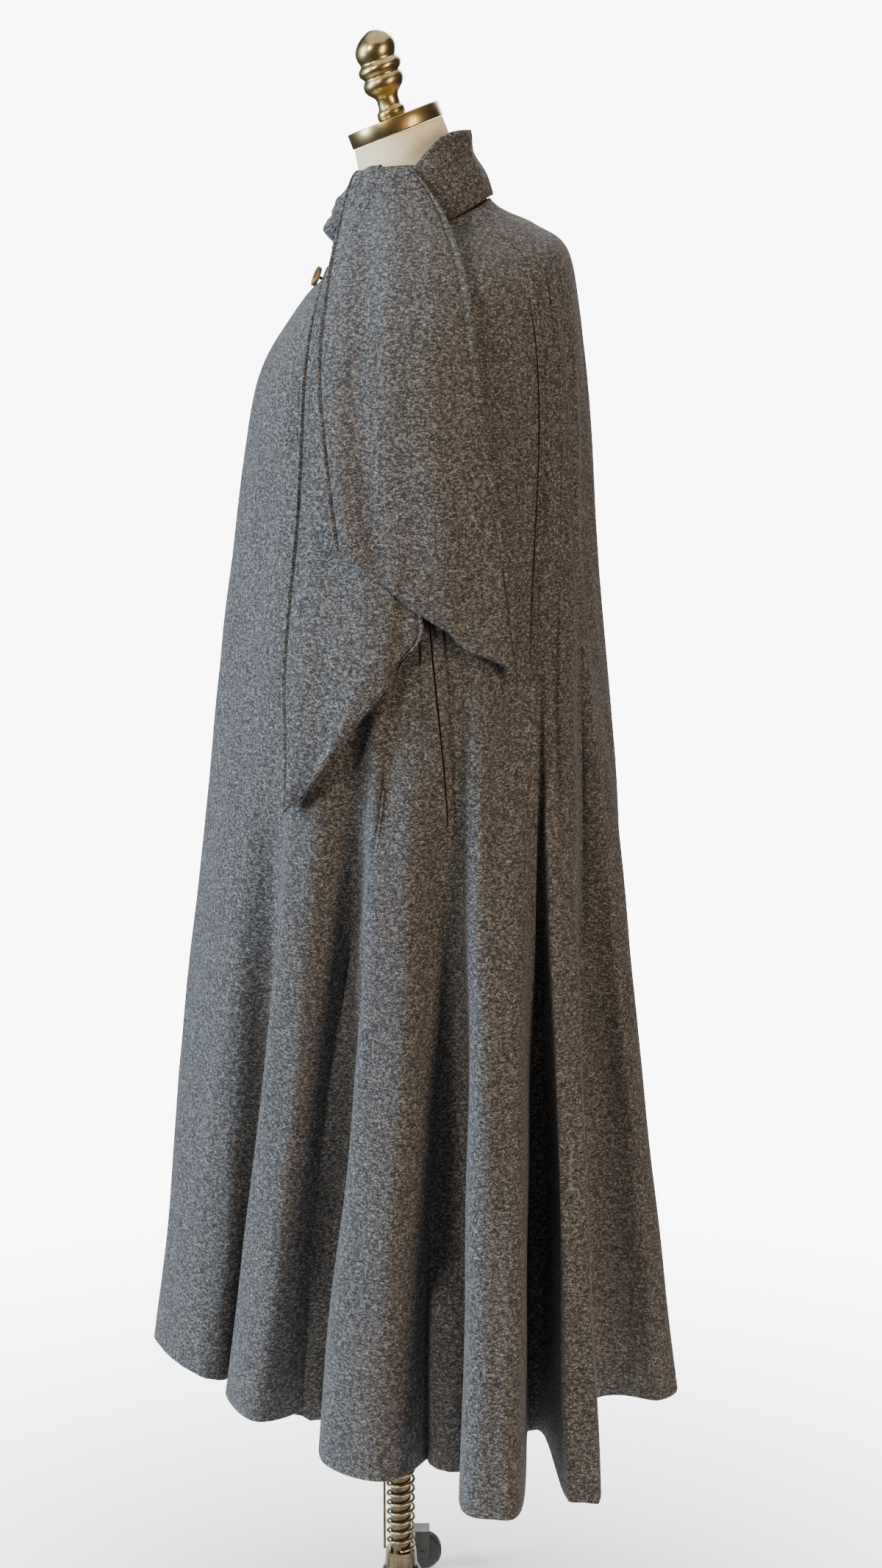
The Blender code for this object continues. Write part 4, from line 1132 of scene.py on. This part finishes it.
@dataclass
class ScarfKnot:
    """The crossing of the scarf's ends: a band round the front of the neck, rolled and creased."""

    node: str = "scarf_knot"
    turns: tuple = (-21.6, 57.6)
    flat: tuple = (0.14, 0.13)
    area: float = 0.0125
    middle: float = 8.0
    spread: float = 15.0
    bulge: float = 0.0205
    dip: float = 0.22
    dip_spread: float = 24.0
    foot: float = 0.02
    roll: float = 0.004
    thickness: float = 0.0026

    def folds(self, across: np.ndarray, up: np.ndarray) -> np.ndarray:
        """Height of the folds that run from the right front into the crossing."""
        angle = np.arctan2(up - 0.42, 1.15 - across)
        near = eased(0.0, 0.12, across) * eased(0.0, 0.10, up) * eased(1.0, 0.88, up)
        ridges = 0.0016 * np.sin(angle * 11 + 0.7) + 0.0009 * np.sin(angle * 23 - across * 4 + 2.0)
        trough = (-0.0045 * np.exp(-((angle + 0.20) / 0.07) ** 2)
                  - 0.0035 * np.exp(-((angle - 0.30) / 0.06) ** 2))
        return near * (ridges + trough)

    def place(self, turn: np.ndarray, share: np.ndarray, lift: float = 0.0) -> np.ndarray:
        """Outer points at a turn and a share of the band's height."""
        zero = np.zeros_like(turn)
        foot, top = SURFACE.body(turn, zero), SURFACE.body(turn, zero - 1.0)
        away = np.stack((np.sin(np.radians(turn)), -np.cos(np.radians(turn)), zero), -1)
        past = turn - self.middle
        crest = 1.0 - self.dip * np.exp(-(past / self.dip_spread) ** 2)
        rise = self.foot + (crest - self.foot) * share
        across = (turn - self.turns[0]) / (self.turns[1] - self.turns[0])
        rounded = np.maximum(np.sin(share * pi), 0.0) ** 0.6
        swell = 0.003 + self.bulge * np.exp(-(past / self.spread) ** 2) * rounded
        swell = swell - 0.0085 * eased(0.03, -0.04, share)
        points = foot + (top - foot) * rise[..., None]
        points = points + away * (swell + self.folds(across, share) + lift)[..., None]
        points[..., 2] += 0.002
        points[..., 1] += POLE_Y
        return points

    def build(self) -> bpy.types.Object:
        """Make the band with its top edge rolled inside."""
        down = np.concatenate([np.linspace(1.0, 0.0, 90), (-0.02, -0.05, -0.12)])
        turn, share = np.meshgrid(np.linspace(*self.turns, 150), down)
        points = self.place(turn, share)
        up, out = unit(points[0] - points[2]), grid_normals(points)[2]
        over = [points[0] + up * self.roll * sin(angle) - out * self.roll * (1 - cos(angle))
                for angle in (pi, pi * 0.8, pi * 0.6, pi * 0.4, pi * 0.2)]
        hanging = over[0] - up * 0.008
        points = np.concatenate([np.stack([hanging] + over), points])
        piece = wall(self.node + "_cloth", points, self.thickness, grid_normals(points))
        ride_form(piece, Finish.WOOL, self.node)
        return piece


@dataclass
class CoatButton:
    """A four-hole horn button with a raised rim, sewn on with crossed thread."""

    radius: float = 0.0105
    centre: tuple = (0.004, -0.0800 + POLE_Y, 1.5500)
    facing: tuple = (0.22, -0.90, 0.38)
    shank: float = 0.0050
    thickness: float = 0.0032
    hole_radius: float = 0.0011
    hole_reach: float = 0.0026

    def matrix(self) -> Matrix:
        """Place of the button on the cape's front."""
        turn = Vector(self.facing).to_track_quat("Z", "Y").to_matrix().to_4x4()
        return Matrix.Translation(self.centre) @ turn

    def build(self) -> None:
        """Turn the disc, sink its face, cut its holes and sew it on."""
        deselect()
        bpy.ops.mesh.primitive_cylinder_add(vertices=64, radius=self.radius, depth=self.thickness,
                                            location=(0, 0, self.thickness / 2))
        disc = bpy.context.object
        disc.name = "coat_button"
        bpy.ops.object.mode_set(mode="EDIT")
        bpy.ops.mesh.select_all(action="DESELECT")
        bpy.ops.object.mode_set(mode="OBJECT")
        for face in disc.data.polygons:
            face.select = face.normal.z > 0.9
        bpy.ops.object.mode_set(mode="EDIT")
        bpy.ops.mesh.inset(thickness=self.radius * 0.16)
        bpy.ops.transform.translate(value=(0, 0, 0.0004))
        bpy.ops.mesh.inset(thickness=self.radius * 0.14)
        bpy.ops.transform.translate(value=(0, 0, -0.0011))
        bpy.ops.object.mode_set(mode="OBJECT")
        bpy.ops.object.transform_apply(location=True)
        for number in range(4):
            angle = pi / 4 + number * pi / 2
            deselect()
            bpy.ops.mesh.primitive_cylinder_add(
                vertices=20, radius=self.hole_radius, depth=0.02,
                location=(self.hole_reach * cos(angle), self.hole_reach * sin(angle), 0))
            drill = bpy.context.object
            cut = disc.modifiers.new("hole", "BOOLEAN")
            cut.operation = "DIFFERENCE"
            cut.object = drill
            deselect()
            disc.select_set(True)
            bpy.context.view_layer.objects.active = disc
            bpy.ops.object.modifier_apply(modifier="hole")
            bpy.data.objects.remove(drill, do_unlink=True)
        bevel = disc.modifiers.new("rim", "BEVEL")
        bevel.width = 0.0003
        bevel.segments = 2
        bevel.limit_method = "ANGLE"
        bpy.ops.object.modifier_apply(modifier="rim")
        disc.data.transform(self.matrix())
        disc.data.shade_smooth()
        disc.data.set_sharp_from_angle(angle=radians(50))
        ride_form(disc, Finish.HORN, "button")
        self.sew()

    def sew(self) -> None:
        """Two crossing bars of thread over the holes."""
        paths, outs = [], []
        for number in (0, 1):
            angle = pi / 4 + number * pi / 2
            for shift in (-0.0003, 0.0003):
                ends = [Vector((way * self.hole_reach * cos(angle) - shift * sin(angle),
                                way * self.hole_reach * sin(angle) + shift * cos(angle),
                                self.thickness - 0.0003 + 0.0003 * number)) for way in (-1, 1)]
                place = self.matrix()
                paths.append(np.array([place @ end for end in ends]))
                outs.append(np.array([place.to_3x3() @ Vector((0, 0, 1))] * 2))
        length = 2 * self.hole_reach
        bars = stitches("button_thread", paths, outs, length * 0.04, length * 0.97, 0.0003)
        wound = [(-self.shank + self.shank * step / 24, 0.0017 + 0.00018 * (-1) ** step)
                 for step in range(25)]
        shank = lathe("button_shank", wound, 24)
        shank.data.transform(self.matrix())
        shank.data.shade_smooth()
        for piece in (bars, shank):
            ride_form(piece, Finish.THREAD)


# ---------------------------------------------------------------- the dress form
@dataclass(frozen=True)
class FormRow:
    """One ring of the padded form."""

    half_width: float
    front: float
    front_z: float
    back: float
    back_z: float


@dataclass
class DressForm:
    """Linen-covered torso and neck, smooth and with no limbs."""

    bottom: float = 0.90
    sides: int = 96
    rings_per_row: int = 8
    neck_top_radius: float = 0.0472
    cap_thickness: float = 0.0155
    rows: tuple = (
        FormRow(0.138, -0.085, 0.900, 0.110, 0.900),
        FormRow(0.152, -0.098, 0.990, 0.132, 0.990),
        FormRow(0.112, -0.082, 1.180, 0.096, 1.180),
        FormRow(0.130, -0.105, 1.300, 0.112, 1.300),
        FormRow(0.152, -0.122, 1.385, 0.134, 1.390),
        FormRow(0.172, -0.104, 1.450, 0.148, 1.470),
        FormRow(0.152, -0.082, 1.500, 0.142, 1.535),
        FormRow(0.104, -0.052, 1.540, 0.116, 1.582),
        FormRow(0.064, -0.027, 1.570, 0.090, 1.606),
        FormRow(0.054, -0.0210, 1.592, 0.080, 1.630),
        FormRow(0.050, -0.0330, 1.632, 0.0650, 1.6640),
    )

    def top_row(self) -> FormRow:
        """The ring just under the neck's cap."""
        lean = radians(NECK_TILT)
        under = Vector(CAP_CENTRE) - Vector((0, -sin(lean), cos(lean))) * (self.cap_thickness / 2 + SEAM_GAP)
        reach = Vector((0, cos(lean), sin(lean))) * self.neck_top_radius
        low, high = under - reach, under + reach
        return FormRow(self.neck_top_radius, low.y, low.z, high.y, high.z)

    def build(self) -> bpy.types.Object:
        """Skin the rings and close both ends."""
        rows = self.rows + (self.top_row(),)
        at = np.linspace(0, len(rows) - 1, (len(rows) - 1) * self.rings_per_row + 1)
        column = {name: smooth_at(np.array([getattr(row, name) for row in rows]), at)
                  for name in ("half_width", "front", "front_z", "back", "back_z")}
        points = []
        for number in range(len(at)):
            for side in range(self.sides):
                angle = 2 * pi * side / self.sides
                share = (1 + sin(angle)) / 2
                points.append((column["half_width"][number] * cos(angle),
                               POLE_Y + column["front"][number] * (1 - share)
                                + column["back"][number] * share,
                               column["front_z"][number] * (1 - share) + column["back_z"][number] * share))
        faces = []
        for ring in range(len(at) - 1):
            for side in range(self.sides):
                after = (side + 1) % self.sides
                low, high = ring * self.sides, (ring + 1) * self.sides
                faces.append((low + side, low + after, high + after, high + side))
        faces.append(tuple(reversed(range(self.sides))))
        last = (len(at) - 1) * self.sides
        faces.append(tuple(last + side for side in range(self.sides)))
        piece = new_mesh("linen_form", np.array(points), faces)
        piece.data.set_sharp_from_angle(angle=radians(50))
        return ride_form(piece, Finish.LINEN, "dress_form")


def lathe(name: str, profile: Sequence[tuple], sides: int = 96) -> bpy.types.Object:
    """Turn a solid: a filled circle extruded up and scaled from ring to ring.

    Args:
        name: the piece's name.
        profile: height and radius of each ring, lowest first.
        sides: sides of the circle.

    Returns:
        The solid on the Z axis, with its normals outward.
    """
    deselect()
    height, radius = profile[0]
    bpy.ops.mesh.primitive_circle_add(vertices=sides, radius=radius, fill_type="NGON",
                                      location=(0, 0, height))
    piece = bpy.context.object
    piece.name = name
    bpy.ops.object.transform_apply(location=True)
    bpy.ops.object.mode_set(mode="EDIT")
    bpy.ops.mesh.select_all(action="SELECT")
    for next_height, next_radius in profile[1:]:
        bpy.ops.mesh.extrude_region_move(TRANSFORM_OT_translate={"value": (0, 0, next_height - height)})
        ratio = next_radius / radius
        bpy.ops.transform.resize(value=(ratio, ratio, 1.0), center_override=(0, 0, next_height))
        height, radius = next_height, next_radius
    bpy.ops.mesh.select_all(action="SELECT")
    bpy.ops.mesh.remove_doubles(threshold=0.000001)
    bpy.ops.mesh.normals_make_consistent(inside=False)
    bpy.ops.object.mode_set(mode="OBJECT")
    return piece


@dataclass
class NeckCap:
    """Antique-gold disc and turned finial on the neck, both leaning with it."""

    radius: float = 0.0485
    thickness: float = 0.0155
    edge: float = 0.0012
    profile: tuple = (
        (0.0000, 0.0135), (0.0012, 0.0145), (0.0070, 0.0146), (0.0082, 0.0140), (0.0098, 0.0120),
        (0.0130, 0.0114), (0.0190, 0.0113), (0.0225, 0.0125), (0.0255, 0.0155), (0.0285, 0.0186),
        (0.0325, 0.0208), (0.0360, 0.0212), (0.0392, 0.0203), (0.0412, 0.0188), (0.0425, 0.0184),
        (0.0442, 0.0196), (0.0465, 0.0218), (0.0495, 0.0227), (0.0522, 0.0222), (0.0545, 0.0205),
        (0.0560, 0.0190), (0.0574, 0.0185), (0.0592, 0.0193), (0.0625, 0.0206), (0.0670, 0.0213),
        (0.0715, 0.0206), (0.0755, 0.0186), (0.0790, 0.0158), (0.0820, 0.0122), (0.0845, 0.0080),
        (0.0862, 0.0040), (0.0868, 0.0012),
    )

    def matrix(self) -> Matrix:
        """Place and lean of the cap."""
        centre = Vector(CAP_CENTRE) + Vector((0, POLE_Y, 0))
        return Matrix.Translation(centre) @ Matrix.Rotation(radians(NECK_TILT), 4, "X")

    def build(self) -> None:
        """Make the disc with eased edges and the finial."""
        half = self.thickness / 2
        rim = (
            (-half, self.radius - self.edge), (-half + self.edge * 0.3, self.radius - self.edge * 0.3),
            (-half + self.edge, self.radius), (half - self.edge, self.radius),
            (half - self.edge * 0.3, self.radius - self.edge * 0.3), (half, self.radius - self.edge),
            (half + 0.0001, 0.0160),
        )
        disc = lathe("gold_neck_cap", rim, 128)
        foot = half + SEAM_GAP
        finial = lathe("gold_finial", [(foot + height, radius) for height, radius in self.profile])
        sway = Matrix(((1, 0, 0, 0), (0, 1, FINIAL_SWAY, -FINIAL_SWAY * foot), (0, 0, 1, 0), (0, 0, 0, 1)))
        finial.data.transform(sway)
        for piece, node in ((disc, "neck_cap"), (finial, "finial")):
            piece.data.transform(self.matrix())
            piece.data.shade_smooth()
            piece.data.set_sharp_from_angle(angle=radians(60))
            ride_form(piece, Finish.GOLD, node)


# ---------------------------------------------------------------- the stand
@dataclass
class PoleStand:
    """Pole, spring, hub, legs and castors."""

    spring_foot: float = 0.146
    spring_head: float = 0.376
    spring_radius: float = 0.0145
    wire_radius: float = 0.0016
    pitch: float = 0.0115
    shortening: float = 0.10

    def build(self) -> None:
        """Make the spring and dress the metal that stays as it is."""
        self.spring()
        for node in ("hub", "post", "sliding_tube", "spring_seat", "guide_rod",
                     *(f"leg_{n}" for n in range(4))):
            self.dress(node, Finish.BRONZE)
        for number in range(4):
            self.dress(f"castor_fork_{number}", Finish.IRON)
            self.dress(f"castor_wheel_{number}", Finish.RUBBER)
            self.bolt(number)

    def dress(self, node: str, finish: Finish) -> None:
        """Give a CAD node its finish."""
        WARDROBE.dress(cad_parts[node], finish)

    def spring(self) -> None:
        """Wind the round wire with a screw of its section."""
        deselect()
        length = self.spring_head - self.spring_foot - 2 * (self.wire_radius + SEAM_GAP)
        turns = round(length / self.pitch)
        bpy.ops.mesh.primitive_circle_add(vertices=12, radius=self.wire_radius,
                                          rotation=(pi / 2, 0, 0), location=(self.spring_radius, 0, 0))
        piece = bpy.context.object
        piece.name = "coil_spring"
        bpy.ops.object.transform_apply(location=True, rotation=True)
        screw = piece.modifiers.new("coil", "SCREW")
        screw.angle = 2 * pi
        screw.screw_offset = length / turns
        screw.iterations = turns
        screw.steps = screw.render_steps = 40
        screw.use_merge_vertices = False
        bpy.ops.object.modifier_apply(modifier="coil")
        bpy.ops.object.mode_set(mode="EDIT")
        bpy.ops.mesh.select_all(action="SELECT")
        bpy.ops.mesh.remove_doubles(threshold=0.00001)
        bpy.ops.mesh.select_all(action="DESELECT")
        bpy.ops.mesh.select_mode(type="EDGE")
        bpy.ops.mesh.select_non_manifold(extend=False, use_wire=False, use_boundary=True,
                                         use_multi_face=False, use_non_contiguous=False, use_verts=False)
        bpy.ops.mesh.edge_face_add()
        bpy.ops.mesh.select_all(action="SELECT")
        bpy.ops.mesh.normals_make_consistent(inside=False)
        bpy.ops.object.mode_set(mode="OBJECT")
        low = self.spring_foot + self.wire_radius + SEAM_GAP
        piece.data.transform(Matrix.Translation((0, POLE_Y, low)))
        piece.data.shade_smooth()
        WARDROBE.dress(piece, Finish.WIRE)
        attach(piece, "stand")
        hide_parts("spring")
        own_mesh(piece)

    def bolt(self, number: int) -> None:
        """A domed bolt head on the outer side of a castor's fork."""
        wheel_low, wheel_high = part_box(f"castor_wheel_{number}")
        centre = (Vector(wheel_low) + Vector(wheel_high)) / 2
        around = Matrix.Rotation(pi / 2 * number, 4, "Z")
        reach = 0.0125
        head = lathe(f"castor_bolt_{number}",
                     ((0.0, 0.0048), (0.0012, 0.0048), (0.0022, 0.0040), (0.0028, 0.0022)), 24)
        place = Matrix.Translation(centre) @ around @ Matrix.Rotation(pi / 2, 4, "Y") \
            @ Matrix.Translation((0, 0, reach))
        head.data.transform(place)
        head.data.shade_smooth()
        WARDROBE.dress(head, Finish.IRON)
        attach(head, f"castor_{number}")


# ---------------------------------------------------------------- floor, light and camera
@dataclass
class Studio:
    """Plain pale floor, soft lights and the camera."""

    eye: tuple = (3.025, 0.0448 + POLE_Y, 1.70)
    pitch: float = 12.63
    lens: float = 67.5
    sensor: float = 36.0
    floor_fade: tuple = (1.5, 0.25)

    def reach(self, shader: Shader) -> Socket:
        """Distance from the pole."""
        return shader.node("ShaderNodeVectorMath", {"operation": "LENGTH"},
                           {"Vector": shader.place()}, out="Value")

    def build(self) -> None:
        """Set the scene up."""
        self.floor()
        self.world()
        self.soft_light("window light", (0.7, -3.7, 2.0), (1.2, 2.6), 300.0, (0.62, 0.80, 1.0))
        self.soft_light("room light", (2.7, 2.6, 1.7), (1.0, 2.0), 95.0, (1.0, 0.74, 0.50))
        self.soft_light("near light", (2.6, -2.3, 3.0), (0.6, 0.6), 82.0, (1.0, 0.90, 0.76))
        self.soft_light("far light", (-3.0, 0.6, 2.6), (2.4, 2.4), 90.0, (0.96, 0.97, 1.0))
        self.soft_light("overhead", (0.0, 0.0, 5.2), (6.0, 6.0), 130.0, (1.0, 0.98, 0.94))
        self.camera()

    def floor(self) -> None:
        """A pale floor that fades into the white surroundings."""
        deselect()
        bpy.ops.mesh.primitive_plane_add(size=12.0, location=(0, 0, 0))
        plane = bpy.context.object
        plane.name = "studio_floor"
        bpy.ops.object.transform_apply(location=True)
        material = principled("pale floor", {"Base Color": (0.94, 0.94, 0.94, 1.0), "Roughness": 0.9,
                                             "Emission Color": (1.0, 1.0, 1.0, 1.0),
                                              "Emission Strength": 0.5},
                              lambda shader: {"Alpha": shader.ramp(self.reach(shader), *self.floor_fade)})
        plane.data.materials.append(material)

    def world(self) -> None:
        """White surroundings that light the part gently."""
        world = bpy.data.worlds.new("studio white")
        bpy.context.scene.world = world
        world.use_nodes = True
        tree = world.node_tree
        shader = Shader(tree)
        background = tree.nodes["Background"]
        seen = shader.node("ShaderNodeLightPath", out="Is Camera Ray")
        tree.links.new((seen * 8.9 + 0.06).output, background.inputs["Strength"])
        background.inputs["Color"].default_value = (1.0, 1.0, 1.0, 1.0)

    def soft_light(self, name: str, place: tuple, size: tuple, power: float, colour: tuple) -> None:
        """An area light that faces the middle of the coat."""
        data = bpy.data.lights.new(name, "AREA")
        data.shape = "RECTANGLE"
        data.size, data.size_y = size
        data.energy = power
        data.color = colour
        lamp = bpy.data.objects.new(name, data)
        lamp.location = place
        aim = Vector((0.0, 0.0, 1.0)) - Vector(place)
        lamp.rotation_euler = aim.to_track_quat("-Z", "Y").to_euler()
        bpy.context.collection.objects.link(lamp)

    def camera(self) -> None:
        """The view from the wearer's left, looking slightly down."""
        data = bpy.data.cameras.new("view")
        data.lens = self.lens
        data.sensor_width = self.sensor
        data.sensor_fit = "AUTO"
        camera = bpy.data.objects.new("view", data)
        camera.location = self.eye
        camera.rotation_euler = (radians(90 - self.pitch), 0.0, radians(90))
        bpy.context.collection.objects.link(camera)
        bpy.context.scene.camera = camera


def main() -> None:
    """Build the coat, the form, the stand and the studio."""
    logging.basicConfig(level=logging.INFO, format="%(name)s: %(message)s")
    coat = (
        CapePanel("cape_front_left", FRONT_EDGE_TURN, SIDE_SEAM_TURN, (1.28, 1.35), 0.894, SLIT_TURN,
                  seam_low=False),
        CapePanel("cape_back", SIDE_SEAM_TURN, 360.0 - SIDE_SEAM_TURN, (1.20, 1.34), 0.845),
        CapePanel("cape_front_right", 360.0 - SIDE_SEAM_TURN, 360.0 + UNDERLAP_TURN, (1.13, 1.34), 0.843,
                  360.0 - SLIT_TURN, underlap=True, seam_high=False),
        Collar(),
        ScarfKnot(),
        ScarfEnd("scarf_end_lower", SCARF_LOWER_ROWS, (0.17, 0.56), 0.07, 0.62, 0.004, 0.003, 1.5),
        ScarfEnd("scarf_end_upper", SCARF_UPPER_ROWS, (0.19, 0.52), 0.085, 0.30, -0.0045, 0.0025,
                 3.6, 0.0075),
        CoatButton(),
    )
    for part in coat + (DressForm(), NeckCap(), PoleStand(), Studio()):
        part.build()
        LOG.info("%s done", type(part).__name__)


if __name__ == "__main__":
    main()
